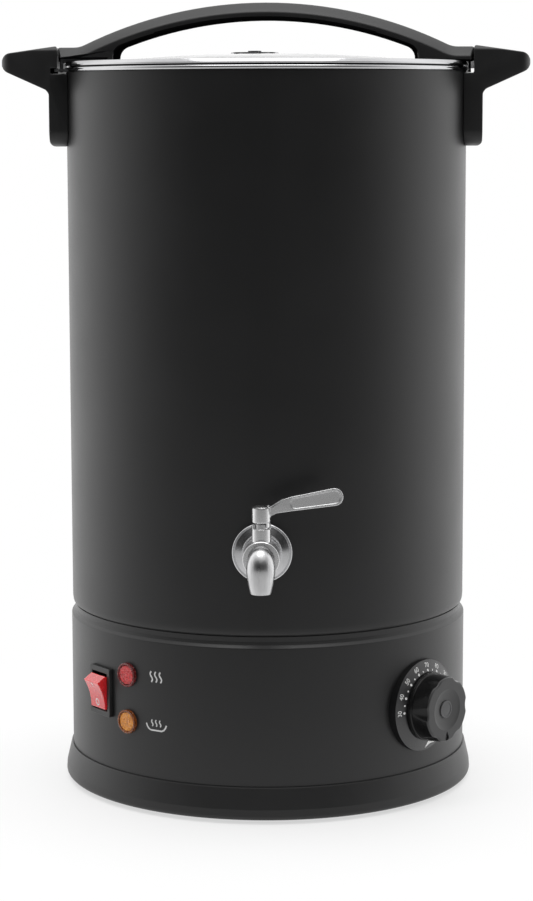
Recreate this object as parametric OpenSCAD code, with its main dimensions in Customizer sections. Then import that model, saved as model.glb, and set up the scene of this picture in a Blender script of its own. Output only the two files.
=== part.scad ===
// Tall electric wax melter: a steel pot inside a black housing, with a twist-lock lid,
// a ball-valve tap, a rocker switch, two lamps and a thermostat knob.
// Millimetres, +Z up. The front faces -Y and +X is to the right of the front.
// The origin is on the pot's axis, at the level of the rubber feet.

/* [Housing] */
// Outer radius of the upper housing wall
shell_r = 112; // [108:0.5:116]
// Thickness of the housing sheet
shell_t = 1; // [0.8:0.1:1.4]
// Height of the upper housing wall, from its lower edge to the pot's rim
shell_h = 298.5; // [280:0.5:320]
// Height of the base wall, from the foot ring to its shoulder
base_h = 77.8; // [74:0.1:86]
// How far the base wall stands out of the upper wall
base_proud = 0.7; // [0.5:0.1:1.6]
// Height of the rounded shoulder at the top of the base wall
shoulder_h = 2; // [1.4:0.1:3]
// Height of the narrow neck seen between the shoulder and the upper wall
neck_h = 5; // [3:0.1:7]
// Depth that the neck's collar reaches up into the upper wall
collar_lap = 9; // [7:0.5:12]

/* [Foot ring] */
// Height of the foot ring
foot_h = 17.7; // [16:0.1:20]
// How far the foot ring flares out of the base wall
foot_flare = 4; // [3:0.1:5]
// Wall of the foot ring
foot_t = 3; // [2.4:0.1:4]
// Depth that the base wall reaches into the foot ring
foot_lap = 8; // [6:0.5:9]
// Thickness of the bottom plate
plate_t = 1.2; // [1:0.1:2]
// Height of the bottom plate above the foot ring's lower edge
plate_lift = 3; // [2:0.5:4]
// Distance of the rubber feet's centres inside the foot ring's wall
feet_in = 22; // [18:0.5:28]
// Radius of a rubber foot
feet_r = 10; // [8:0.5:12]
// How far the rubber feet stand below the foot ring
feet_proud = 2; // [1:0.5:3]
// Distance of the bottom screws inside the foot ring's wall
boss_in = 10; // [9:0.5:12]
// Radius of a screw boss in the foot ring
boss_r = 5; // [4.5:0.5:6]
// Radius of the shank of a bottom screw
base_screw_r = 1.6; // [1.4:0.1:2]

/* [Pot] */
// Room for the insulation between the pot and the upper wall
insulation_t = 5; // [4:0.5:8]
// Thickness of the pot wall
pot_t = 0.8; // [0.6:0.1:1.2]
// Height of the pot's floor above the base wall's shoulder
pot_floor_h = 30; // [28:1:34]
// Radius of the pot's bottom corner
pot_corner = 8; // [5:0.5:11]
// Radius of the rolled bead on the rim
bead_r = 1.3; // [1:0.1:1.6]
// Distance of the heater plate's edge inside the pot's wall
heater_in = 21; // [18:1:30]
// Thickness of the heater plate
heater_t = 8; // [6:0.5:9]
// Distance of the heating element inside the heater plate's edge
element_in = 27; // [23:1:35]
// Radius of the heating element's tube
element_r = 3.5; // [3:0.25:4]

/* [Lid] */
// Height of the lid's hemmed edge
hem_h = 2.5; // [2:0.1:3]
// Width of the hem, across the edge
hem_w = 1.6; // [1.2:0.1:2]
// Gap seen between the bead and the hem
lid_gap = 0.6; // [0.4:0.1:1]
// Thickness of the lid sheet
lid_t = 0.8; // [0.6:0.1:1.2]
// Distance of the dome's edge inside the housing's outside
dome_in = 23; // [20:1:28]
// Rise of the dome
dome_rise = 4.5; // [3.5:0.1:6]
// Radius of the raised vent disc
vent_r = 13.4; // [10:0.1:16]
// Radius of the vent's cap
vent_cap_r = 4.3; // [3:0.1:6]
// Place of the vent across the lid, seen from the front
vent_x = -6.5; // [-12:0.5:12]
// Depth of the gasket's lip inside the pot
lip_h = 6; // [4:0.5:10]
// Wall of the gasket's lip
lip_w = 1.5; // [1.2:0.1:2]

/* [Lid handle] */
// Fall of the arch from its top to above the housing's outside
arch_fall = 28.9; // [26:0.1:31]
// Height of the arch's top above the rim
arch_top = 37.7; // [34:0.1:42]
// Thickness of the arch
arch_t = 8.5; // [7:0.5:11]
// Depth of the handle, front to back
handle_d = 52; // [46:1:56]
// Height of the flat ends above the rim
arch_end = 13.5; // [12.5:0.1:15]
// Distance of the opening's side inside the housing's outside
grip_in = 28; // [26:0.5:30]
// Radius of the opening's corners
grip_corner = 7; // [4:0.5:9]
// Height of the broad bevel along the top
bevel_h = 5.2; // [4:0.1:6.5]
// Depth of the broad bevel along the top
bevel_d = 7; // [5:0.5:9]
// Radius of the blend between arch and end
blend_r = 14; // [8:1:20]
// Gap between the ends and the side handles
end_gap = 1.4; // [1:0.1:2]

/* [Side handles] */
// How far a wing's tip stands out of the housing
wing_out = 34.1; // [30:0.1:40]
// How far the leg's outer face stands out of the housing
leg_out = 7.8; // [7.4:0.1:10]
// Length of the leg below the rim
leg_h = 41; // [36:0.5:46]
// Height of the wing's top at the lid, above the rim
wing_top = 14; // [13:0.1:15]
// Height of the wing's top at its tip, above the rim
tip_top = 10.5; // [9.5:0.1:11.5]
// Radius of the wing's rounded tip
tip_r = 5.6; // [4.6:0.1:6]
// Depth of the wing's root below the rim
wing_root = 10.5; // [8:0.1:12]
// Distance of the handle's inner wall beside the lid out from the housing
jaw_out = 5.6; // [5.4:0.1:6.2]
// Depth of the locking groove
groove_d = 3.6; // [3:0.1:4.2]
// Depth of the locking groove's floor below the rim
groove_floor = 0.9; // [0.8:0.1:1.4]
// Height of the locking groove
groove_h = 3; // [2.8:0.1:3.6]
// Small bevel on the wing's edges
wing_bevel = 1.6; // [1:0.1:2.4]
// Radius of the leg's lower corners
leg_corner = 9; // [5:0.5:12]

/* [Lock] */
// Thickness of the lock plate
lock_t = 1.4; // [1.2:0.1:1.6]
// Angle that the lid turns to lock
lock_turn = 14; // [13:0.5:15]
// Angle that a locking tongue spans
tongue_span = 6; // [4:0.5:6.5]

/* [Tap] */
// Height of the tap's axis above the base wall's shoulder
tap_h = 50.4; // [48:0.1:62]
// Radius of the tap's shank
shank_r = 8; // [7:0.25:8.5]
// Radius of the tap's flange
tap_flange_r = 16; // [14:0.5:18]
// Radius of the valve's barrel
barrel_r = 9.7; // [9.4:0.1:10.2]
// Distance from the wall to the valve stem
stem_out = 17; // [16:0.5:19]
// Distance from the wall to the spout's axis
spout_out = 29.4; // [29:0.1:33]
// Largest radius of the spout
spout_r = 7.55; // [7.2:0.05:8]
// Radius of the spout's outlet end
spout_end_r = 5.4; // [5:0.1:6]
// Drop of the spout below the tap's axis
spout_drop = 17; // [15:0.5:22]
// Radius of the outlet's bore
outlet_r = 3.8; // [3:0.1:4.2]
// Radius of the way through the valve
port_r = 3.4; // [2.5:0.1:3.6]
// Radius of the valve's ball
ball_r = 6.4; // [6:0.1:6.6]
// Radius of the valve stem
stem_r = 2.4; // [2:0.1:2.8]
// Radius of the bonnet round the stem
bonnet_r = 5.1; // [4.6:0.1:5.4]
// Height of the bonnet's top above the tap's axis
bonnet_top = 18.1; // [17:0.1:20]
// Height of the lever's hub
hub_h = 9.2; // [8:0.1:11]
// Radius of the lever's hub
hub_r = 4.95; // [4.6:0.05:5.3]
// Length of the lever from the stem to its tip
lever_l = 42.8; // [36:0.2:50]
// Width of the lever's paddle
paddle_w = 9.4; // [8:0.2:11]
// Thickness of the lever's paddle
paddle_t = 3.4; // [2.8:0.1:4.2]
// Upward slope of the lever
lever_slope = 9.5; // [6:0.5:12]
// Angle between open and closed
tap_turn = 90; // [80:5:90]

/* [Dial and knob] */
// Angle of the dial round from the front, to the right
dial_az = 50; // [46:0.5:56]
// Height of the dial's centre above the foot ring
dial_h = 36; // [33:0.1:40]
// Radius of the dial plate
dial_r = 25.4; // [24:0.1:27]
// How far the dial's rim stands out of the wall
dial_proud = 2; // [1.6:0.1:3]
// How far the dial's face rises from its rim to the knob
dial_rise = 2; // [1:0.1:3]
// Radius of the knob's skirt
knob_r = 18.9; // [18:0.1:20]
// Height of the knob's face above the dial
knob_h = 13.8; // [12:0.1:17]
// Height of the knob's skirt above the dial
skirt_h = 3.2; // [2.6:0.1:4]
// How far the knob narrows towards its face
knob_draft = 0.6; // [0.2:0.1:1]
// Number of finger scallops round the knob
knob_lobes = 6; // [5:1:9]
// Radius of a finger scallop
scallop_r = 9; // [7.5:0.5:11]
// Depth of a finger scallop at the knob's face
scallop_d = 1.8; // [1.2:0.1:2.4]
// Radius of the knob's dished face
dish_r = 10.8; // [9.6:0.1:12]
// Depth of the dish
dish_d = 1.2; // [0.8:0.1:1.6]
// Radius of the plain cap in the dish
cap_r = 4.9; // [4:0.1:7]
// Radius of the thermostat's shaft
shaft_r = 3; // [2.5:0.25:3.5]
// Half the distance between the thermostat's screws
stat_screw_x = 11.5; // [11:0.5:12]
// Gap between the dial's face and the knob
knob_gap = 1.2; // [0.6:0.1:1.6]

/* [Switch and lamps] */
// Angle of the switch round from the front, to the left
switch_az = 52.8; // [50:0.1:56]
// Height of the switch's centre above the foot ring
switch_h = 42.5; // [38:0.1:44]
// Width of the switch's bezel
bezel_w = 20; // [19.2:0.1:22]
// Height of the switch's bezel
bezel_h = 27; // [26.2:0.1:29]
// How far the bezel stands out of the wall
bezel_proud = 2; // [1.6:0.1:3]
// Width of the rocker's well
well_w = 14.8; // [14:0.1:15]
// Height of the rocker's well
well_h = 21; // [20.4:0.1:21.6]
// Distance of the rocker's raised edges from its middle
rocker_tip_y = 8.1; // [7.6:0.1:8.6]
// Height of the rocker's raised edges over its pivot
rocker_tip_z = 5.7; // [5.2:0.1:6.2]
// Distance of the rocker's ends from its middle
rocker_end_y = 9.7; // [9.2:0.1:9.9]
// Depth of the hollow in the rocker's front
rocker_hollow = 1.2; // [0.6:0.1:1.6]
// Angle that the rocker turns between off and on
rocker_turn = 34; // [26:1:36]
// Angle of the lamps round from the front, to the left
lamp_az = 41.25; // [39:0.25:42]
// Height of the upper lamp above the foot ring
lamp_high = 55.2; // [50:0.1:58]
// Height of the lower lamp above the foot ring
lamp_low = 29.1; // [24:0.1:32]
// Radius of a lamp's lens
lamp_r = 6.6; // [6:0.1:7.4]
// How far a lens stands out of the wall
lamp_proud = 2; // [1.5:0.1:3]
// Radius of a lamp's body behind the wall
lamp_body_r = 5.2; // [4.5:0.1:5.6]

/* [Power inlet] */
// Height of the inlet's centre above the foot ring
inlet_h = 32; // [26:0.5:40]
// Width of the inlet's flange
inlet_w = 50; // [48:0.5:52]
// Height of the inlet's flange
inlet_fh = 22.5; // [22:0.5:25]
// Width of the inlet's socket
socket_w = 24.6; // [24:0.1:26]
// Height of the inlet's socket
socket_h = 16.8; // [16:0.1:18]
// Depth of the inlet's socket
socket_d = 17; // [15:0.5:18]
// Distance between the inlet's screws
inlet_pitch = 40; // [38:0.5:41]

/* [Fits] */
// Radial clearance of a running fit
run_fit = 0.05; // [0.03:0.01:0.09]
// Clearance of pieces that are pushed together
push_fit = 0.1; // [0.05:0.05:0.2]
// Clearance round the lid's lip
lip_fit = 0.4; // [0.3:0.05:0.6]

/* [Hidden] */
$fn = 96;
blend_fn = 32;
over = 1;
far = 400;

z_ring = feet_proud;
z_foot = z_ring + foot_h;
z_plate = z_ring + plate_lift;
z_deck = z_plate + plate_t;
z_seam = z_foot + base_h;
z_wall = z_seam + neck_h;
z_rim = z_wall + shell_h;
z_collar = z_wall + collar_lap;
z_floor = z_seam + pot_floor_h;
z_under = z_floor - pot_t;
z_heater = z_under - heater_t;
z_element = z_heater;
z_tap = z_seam + tap_h;
z_dial = z_foot + dial_h;
z_switch = z_foot + switch_h;
z_inlet = z_foot + inlet_h;
lamp_zs = [z_foot + lamp_high, z_foot + lamp_low];

base_r = shell_r + base_proud;
base_in = base_r - shell_t;
shell_in = shell_r - shell_t;
collar_r = shell_in - push_fit;
ring_r = base_r + foot_flare;
ring_lip = base_r + push_fit;
ring_in = base_in - 1.6;
z_ledge = z_foot - foot_lap;
feet_pcr = ring_in - feet_in;
boss_pcr = ring_in - boss_in;

pot_r = shell_in - insulation_t;
pot_in = pot_r - pot_t;
heater_r = pot_r - heater_in;
element_pcr = heater_r - element_in;
bead_ring = shell_r - 0.3;
bead_top = z_rim + 2 * bead_r;
hem_low = bead_top + lid_gap;
lid_edge = hem_low + hem_h;
lid_under = lid_edge - lid_t;
hem_r = bead_ring + bead_r - 0.2;
z_gasket = z_rim + pot_t;

dome_r = shell_r - dome_in;
grip_half = shell_r - grip_in;
arch_r = (pow(shell_r, 2) + pow(arch_fall, 2)) / (2 * arch_fall);
arch_z = z_rim + arch_top - arch_r;
half_d = handle_d / 2;
wing_reach = shell_r + wing_out;
leg_x = shell_r + leg_out;
jaw_r = shell_r + jaw_out;
groove_r = jaw_r + groove_d;
foot_r_max = jaw_r - end_gap;
z_end = z_rim + arch_end;

tongue_clear = 0.8;
z_tongue = z_rim;
jaw_az = asin(half_d / jaw_r);
tongue_az = jaw_az + tongue_clear;
tongue_r = groove_r - 1.7;
lock_in = foot_r_max - 0.8 - lock_t;

y_stem = -(shell_r + stem_out);
y_spout = -(shell_r + spout_out);
washer_t = 1.6;
flange_t = 4;
z_seat_face = washer_t + flange_t;
cavity_r = ball_r + 0.6;
cavity_back = stem_out - ball_r - 1.2;
cavity_front = stem_out + ball_r + 1.2;
bonnet_low = barrel_r - 1.7;
z_hub = z_tap + bonnet_top + 0.5;
hole_r = shank_r + 0.3;

bolt_r = 2.4;
insert_r = 2.1;
bolt_drop = 14;
bolt_rise = 10;
handle_bolt_z = [z_rim - bolt_drop, z_rim - leg_h + bolt_rise];
lid_screw_x = shell_r - 16;
lid_screw_y = 12;
lid_screw_r = 2;

// Foot ring and bottom screws
screw_grip = z_ledge - z_deck - 1.2;
plate_r = ring_in - foot_t - 0.3;
foot_stem_r = 3.5;

// Heater and its clamp
stud_r = 4;
stud_l = 12;
clamp_t = 3;
clamp_gap = 0.2;
z_clamp = z_element - element_r - clamp_gap;
element_pin = 16;
cutout_in = 26;
cutout_y = element_pcr - cutout_in;

// Side handles
bolt_in = 6;

// Tap
spacer_r = 11;
inner_washer_t = 2;
nut_h = 5;
z_nut = -(shell_r - pot_in) - inner_washer_t - 0.7;
shank_end = z_nut - nut_h - 2;
seat_l = 2.4;
lug_span = 40;
lug_end = -12;
stem_top = bonnet_top + 0.5 + hub_h - 2;

// Dial, knob and thermostat
bush_r = 5;
stat_screw_r = 2;
stat_in = base_in - 1.6;
stat_w = 36;
stat_h = 28;
stat_d = 22;
dial_top = dial_proud + dial_rise;
shaft_top = base_r - stat_in + dial_top + knob_h - 5;
knob_hollow = 7;
hub_out_r = 6.5;
dish_drop = 0.3;
cap_sink = 0.6;
cap_floor = knob_h - dish_drop - dish_d - cap_sink;

// Switch and lamps
switch_wall = 1.3;
can_w = well_w + 2 * switch_wall;
can_h = well_h + 2 * switch_wall;
can_d = 20;
pin_r = 1.2;
pin_reach = 0.9;
rocker_w = well_w - 0.6;
well_d = 8;
clip_t = 2;

// Power inlet
socket_wall = 1.6;
socket_out_w = socket_w + 2 * socket_wall;
socket_out_h = socket_h + 2 * socket_wall;
socket_floor = 4;
inlet_face = 3;
inlet_screw_r = 1.5;

// Lid, gasket and lock
gasket_out = bead_ring - bead_r - 0.5;
gasket_lip = pot_in - lip_fit;
lid_screw_in = 8;
lock_root = lid_screw_x - 5;
lock_from = 4.5;
lock_to = 12;

// Points of an arc from angle a0 to a1, in n steps; ry lets it be an ellipse.
function arc(cx, cy, rx, a0, a1, n, ry = 0) =
    [for (i = [0:n]) let (a = a0 + (a1 - a0) * i / n)
        [cx + rx * cos(a), cy + (ry > 0 ? ry : rx) * sin(a)]];

// Places a piece on the upright wall: local +Z points outwards, +Y up and +X to the right.
module on_wall(az, r, z) {
    rotate([0, 0, az]) translate([0, -r, z]) rotate([90, 0, 0]) children();
}

// A cylinder through the wall, used for holes and bosses.
module wall_bore(az, z, r, from, to) {
    on_wall(az, 0, z) translate([0, 0, from]) cylinder(r = r, h = to - from);
}

// An upright cylinder as tall as the whole part.
module column(r) {
    translate([0, 0, -far]) cylinder(r = r, h = 3 * far, $fn = 360);
}

// A tube between two heights.
module tube(r_out, r_in, low, high) {
    translate([0, 0, low]) difference() {
        cylinder(r = r_out, h = high - low);
        translate([0, 0, -over]) cylinder(r = r_in, h = high - low + 2 * over);
    }
}

// Four copies round the axis, starting at an angle.
module four_round(first) {
    for (i = [0:3]) rotate([0, 0, first + 90 * i]) children();
}

// A flat panel with rounded corners, centred.
module rounded_slab(w, h, t, r) {
    linear_extrude(t) {
        square([w - 2 * r, h], center = true);
        square([w, h - 2 * r], center = true);
        for (x = [r - w / 2, w / 2 - r], y = [r - h / 2, h / 2 - r]) translate([x, y])
            circle(r = r, $fn = blend_fn);
    }
}

// ---- Housing ----

module handle_bolt_bores(r, from, to) {
    for (side = [90, 270], z = handle_bolt_z) wall_bore(side, z, r, from, to);
}

module outer_shell() {
    color([0.13, 0.13, 0.135]) difference() {
        tube(shell_r, shell_in, z_wall, z_rim);
        wall_bore(0, z_tap, hole_r, shell_r / 2, shell_r + over);
        handle_bolt_bores(bolt_r + 0.2, shell_r / 2, shell_r + over);
    }
}

// Section of the base wall: shoulder, neck and the collar inside the upper wall.
module base_profile() {
    recess = base_r - collar_r;
    round_w = recess * 0.55;
    root_w = recess - round_w;
    outer = concat(
        [[base_r, z_ledge]],
        arc(base_r - round_w, z_seam - shoulder_h, round_w, 0, 90, 5, shoulder_h),
        arc(base_r - round_w, z_seam + root_w, root_w, 270, 180, 4),
        [[collar_r, z_collar], [collar_r - shell_t, z_collar]]);
    inner = concat(
        arc(collar_r - shell_t, z_seam - shoulder_h - shell_t / 2, recess, 90, 0, 5, shoulder_h),
        [[base_in, z_ledge]]);
    polygon(concat(outer, inner));
}

module base_shell() {
    color([0.13, 0.13, 0.135]) difference() {
        rotate_extrude() base_profile();
        wall_bore(dial_az, z_dial, bush_r + 0.2, base_r / 2, base_r + over);
        stat_screw_places() translate([0, 0, -6]) cylinder(r = stat_screw_r + 0.2, h = 12);
        on_wall(-switch_az, base_r, z_switch) cutout(can_w + 0.4, can_h + 0.4);
        for (z = lamp_zs) wall_bore(-lamp_az, z, lamp_body_r + 0.2, base_r / 2, base_r + over);
        on_wall(180, base_r, z_inlet) cutout(socket_out_w + 0.4, socket_out_h + 0.4);
        inlet_screw_places() translate([0, 0, -8]) cylinder(r = inlet_screw_r + 0.2, h = 12);
    }
}

module cutout(w, h) {
    deep = 12;
    translate([-w / 2, -h / 2, -deep]) cube([w, h, 2 * deep]);
}

module foot_profile() {
    curve = arc(ring_r - 2.2, z_ring + 2.2, 2.2, 0, -90, 5);
    polygon(concat(
        [[ring_lip, z_foot], [ring_lip + 0.7, z_foot], [ring_lip + 1, z_foot - 0.6],
         [ring_r - 0.3, z_ring + 6]],
        curve,
        [[ring_r - foot_t - 2, z_ring], [ring_in - foot_t, z_ring + plate_lift - 0.2],
         [ring_in - foot_t, z_ledge], [ring_lip, z_ledge]]));
}

module foot_ring() {
    color([0.11, 0.11, 0.115]) difference() {
        union() {
            rotate_extrude() foot_profile();
            four_round(45) intersection() {
                translate([boss_pcr, 0, z_deck]) union() {
                    cylinder(r = boss_r, h = z_ledge - z_deck);
                    translate([0, -boss_r, 0]) cube([ring_in - boss_pcr, 2 * boss_r, z_ledge - z_deck]);
                }
                column(ring_in - over);
            }
        }
        four_round(45) translate([boss_pcr, 0, z_deck - over])
            cylinder(r = base_screw_r + push_fit / 2, h = screw_grip + 2 * over);
    }
}

module bottom_plate() {
    slot_w = 3;
    slot_l = 16;
    slot_from = 42;
    color([0.62, 0.63, 0.64]) difference() {
        translate([0, 0, z_plate]) cylinder(r = plate_r, h = plate_t);
        four_round(45) translate([boss_pcr, 0, z_plate - over])
            cylinder(r = base_screw_r + 0.3, h = plate_t + 2 * over);
        four_round(0) translate([feet_pcr, 0, z_plate - over])
            cylinder(r = foot_stem_r, h = plate_t + 2 * over);
        for (i = [0:11]) rotate([0, 0, 30 * i + 15]) translate([slot_from, 0, z_plate - over])
            vent_slot(slot_l, slot_w, plate_t + 2 * over);
    }
}

module vent_slot(l, w, h) {
    translate([0, -w / 2, 0]) cube([l, w, h]);
    for (x = [0, l]) translate([x, 0, 0]) cylinder(d = w, h = h, $fn = blend_fn);
}

module rubber_feet() {
    color([0.05, 0.05, 0.05]) four_round(0) translate([feet_pcr, 0, 0]) rotate_extrude()
        polygon([[0, 0], [feet_r - 1, 0], [feet_r, 1], [feet_r - 0.6, z_plate],
                 [foot_stem_r, z_plate], [foot_stem_r, z_deck], [foot_stem_r + 1.6, z_deck],
                 [foot_stem_r - 1, z_deck + 4], [0, z_deck + 4]]);
}

// A pan-head screw whose head stands on z = 0 and whose shank points down.
module pan_screw(r, l, head_r, head_h) {
    difference() {
        rotate_extrude() polygon(concat(
            [[0, -l], [r * 0.6, -l], [r, -l + 1], [r, 0], [head_r, 0]],
            arc(head_r - head_h * 0.6, head_h * 0.4, head_h * 0.6, 0, 90, 4), [[0, head_h]]));
        for (a = [0, 90]) rotate([0, 0, a]) translate([-head_r * 0.5, -head_r * 0.09, head_h * 0.5])
            cube([head_r, head_r * 0.18, head_h]);
    }
}

module bottom_screws() {
    color([0.75, 0.76, 0.78]) four_round(45) translate([boss_pcr, 0, z_plate]) rotate([180, 0, 0])
        pan_screw(base_screw_r, plate_t + screw_grip - 0.5, 3, 1.8);
}

// ---- Pot and heater ----

module pot_profile() {
    bottom = arc(pot_r - pot_corner, z_under + pot_corner, pot_corner, -90, 0, 6);
    inside = arc(pot_r - pot_corner, z_under + pot_corner, pot_corner - pot_t, 0, -90, 6);
    polygon(concat([[0, z_under]], bottom,
        [[pot_r, z_rim], [bead_ring, z_rim], [bead_ring, z_gasket], [pot_in, z_gasket]],
        inside, [[0, z_floor]]));
}

module inner_pot() {
    color([0.8, 0.81, 0.82]) difference() {
        union() {
            rotate_extrude() pot_profile();
            rotate_extrude() intersection() {
                translate([bead_ring, z_rim + bead_r]) circle(r = bead_r, $fn = blend_fn);
                translate([0, z_rim]) square([far, far]);
            }
            translate([0, 0, z_heater - stud_l]) cylinder(r = stud_r, h = stud_l + heater_t + over / 2);
        }
        wall_bore(0, z_tap, hole_r, pot_r / 2, shell_r);
    }
}

module insulation() {
    clear = 5;
    color([0.86, 0.84, 0.76]) difference() {
        tube(shell_in - push_fit, pot_r + push_fit, z_collar + over, z_rim - over);
        wall_bore(0, z_tap, spacer_r + push_fit, pot_r / 2, shell_r + over);
        handle_bolt_bores(clear, pot_r, shell_r + over);
    }
}

module heater_plate() {
    color([0.7, 0.71, 0.72]) difference() {
        translate([0, 0, z_heater]) cylinder(r = heater_r, h = heater_t);
        translate([0, 0, z_heater - over]) cylinder(r = stud_r + push_fit, h = heater_t + 2 * over);
        rotate_extrude() translate([element_pcr, z_element]) circle(r = element_r + push_fit);
    }
}

module heating_element() {
    gap_angle = 30;
    color([0.35, 0.33, 0.32]) {
        rotate([0, 0, 90 + gap_angle / 2]) rotate_extrude(angle = 360 - gap_angle)
            translate([element_pcr, z_element]) circle(r = element_r);
        for (a = [90 - gap_angle / 2, 90 + gap_angle / 2]) rotate([0, 0, a])
            translate([element_pcr, 0, z_element - element_pin])
                cylinder(r = element_r * 0.8, h = element_pin);
    }
}

module heater_clamp() {
    bar_w = 24;
    bar_l = 2 * (element_pcr + 8);
    color([0.6, 0.61, 0.62]) difference() {
        translate([-bar_l / 2, -bar_w / 2, z_clamp - clamp_t]) cube([bar_l, bar_w, clamp_t]);
        translate([0, 0, z_clamp - clamp_t - over])
            cylinder(r = stud_r + push_fit, h = clamp_t + 2 * over);
    }
}

module clamp_nut() {
    color([0.75, 0.76, 0.78]) translate([0, 0, z_clamp - clamp_t - 5]) difference() {
        cylinder(r = 7.5, h = 5, $fn = 6);
        translate([0, 0, -over]) cylinder(r = stud_r + run_fit, h = 5 + 2 * over);
    }
}

module thermal_cutout() {
    body_r = 8;
    body_h = 7;
    ear_x = 12;
    ear_w = 8;
    tab_x = 4;
    color([0.25, 0.23, 0.22]) translate([0, cutout_y, z_heater]) rotate([180, 0, 0]) {
        cylinder(r = body_r, h = body_h);
        translate([-ear_x, -ear_w / 2, 0]) cube([2 * ear_x, ear_w, 1]);
        for (x = [-tab_x, tab_x]) translate([x - 0.4, -3, body_h]) cube([0.8, 6, 9]);
    }
}

// ---- Side handles ----

module side_handle_outline() {
    tip_x = wing_reach - tip_r;
    tip_z = z_rim + tip_top - tip_r;
    root = z_rim - wing_root;
    foot = z_rim - leg_h;
    toe = 3;
    tip_from = -66;
    tip_to = 82;
    polygon(concat(
        [[pot_r, foot], [leg_x - toe, foot]],
        arc(leg_x - toe, foot + toe, toe, -90, 0, 4),
        [[leg_x, root - 1.5], [leg_x + 1.6, root + 0.7]],
        arc(tip_x, tip_z, tip_r, tip_from, tip_to, 10),
        [[jaw_r - over, z_rim + wing_top], [pot_r, z_rim + wing_top]]));
}

// Keeps the front and rear of a handle: bevelled along the top, rounded at the leg's foot.
module side_handle_end_view() {
    b = wing_bevel;
    top = z_rim + wing_top;
    foot = z_rim - leg_h;
    polygon(concat(
        arc(leg_corner - half_d, foot + leg_corner, leg_corner, 180, 270, 8),
        arc(half_d - leg_corner, foot + leg_corner, leg_corner, -90, 0, 8),
        [[half_d, top - b - 0.5], [half_d - b, top], [b - half_d, top], [-half_d, top - b - 0.5]]));
}

module side_handle_plan() {
    r = 6;
    translate([0, r - half_d]) square([wing_reach, handle_d - 2 * r]);
    translate([0, -half_d]) square([wing_reach - r, handle_d]);
    for (s = [-1, 1]) translate([wing_reach - r, s * (half_d - r)]) circle(r = r);
}

module side_handle() {
    difference() {
        intersection() {
            translate([0, half_d, 0]) rotate([90, 0, 0]) linear_extrude(handle_d)
                side_handle_outline();
            rotate([90, 0, 90]) linear_extrude(far) side_handle_end_view();
            translate([0, 0, z_rim - leg_h - over])
                linear_extrude(leg_h + wing_top + 2 * over) side_handle_plan();
        }
        column(shell_r);
        translate([0, 0, z_rim - groove_floor]) cylinder(r = jaw_r, h = far);
        locking_groove();
        for (z = handle_bolt_z) wall_bore(90, z, insert_r, shell_r - over, shell_r + bolt_in);
    }
}

// The groove that the lid's tongue turns into, open at the end that the tongue comes from.
module locking_groove() {
    shut = lock_turn - tongue_az + 1;
    rotate([0, 0, -shut]) rotate_extrude(angle = shut + jaw_az + 6)
        translate([jaw_r - over, z_rim - groove_floor])
            square([groove_r - jaw_r + over, groove_h]);
}

module side_handle_right() {
    color([0.12, 0.12, 0.12]) side_handle();
}

module side_handle_left() {
    color([0.12, 0.12, 0.12]) rotate([0, 0, 180]) side_handle();
}

module handle_screws() {
    head_r = 4;
    head_h = 2.2;
    color([0.7, 0.71, 0.73]) for (side = [90, 270], z = handle_bolt_z)
        on_wall(side, shell_in - push_fit, z) rotate([180, 0, 0])
            pan_screw(insert_r - run_fit, shell_t + bolt_in - 0.6, head_r, head_h);
}

// ---- Tap ----

// The tap's own axis: local +Z points out of the wall, with z = 0 on the housing's surface.
module on_tap_axis() {
    on_wall(0, shell_r, z_tap) children();
}

module tap_washer_outer() {
    color([0.85, 0.85, 0.83]) difference() {
        on_tap_axis() difference() {
            translate([0, 0, -4]) cylinder(r = tap_flange_r - 2.5, h = 4 + washer_t);
            translate([0, 0, -5]) cylinder(r = shank_r + run_fit, h = 12);
        }
        column(shell_r);
    }
}

module tap_flange() {
    rim = 0.9;
    color([0.8, 0.8, 0.81]) on_tap_axis() rotate_extrude() polygon([
        [shank_r + run_fit, washer_t], [tap_flange_r - 0.8, washer_t],
        [tap_flange_r, washer_t + 0.6], [tap_flange_r, washer_t + 1.5],
        [tap_flange_r - 0.5, washer_t + 2], [tap_flange_r - 1.4, washer_t + 2 - rim / 2],
        [barrel_r + 1.6, z_seat_face - 1.2], [barrel_r + 0.6, z_seat_face],
        [shank_r + run_fit, z_seat_face]]);
}

module tap_spacer() {
    color([0.78, 0.79, 0.8]) intersection() {
        tube(shell_in, pot_r, z_tap - 2 * spacer_r, z_tap + 2 * spacer_r);
        on_wall(0, 0, z_tap) difference() {
            cylinder(r = spacer_r, h = far);
            cylinder(r = shank_r + 0.3, h = far);
        }
    }
}

module tap_washer_inner() {
    color([0.85, 0.85, 0.83]) intersection() {
        column(pot_in);
        on_tap_axis() translate([0, 0, z_nut]) difference() {
            cylinder(r = spacer_r + 1, h = 12);
            translate([0, 0, -over]) cylinder(r = shank_r + run_fit, h = 14);
        }
    }
}

module tap_nut() {
    color([0.76, 0.77, 0.78]) on_tap_axis() translate([0, 0, z_nut - nut_h]) difference() {
        cylinder(r = 12.6, h = nut_h, $fn = 6);
        translate([0, 0, -over]) cylinder(r = shank_r + run_fit, h = nut_h + 2 * over);
    }
}

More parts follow.
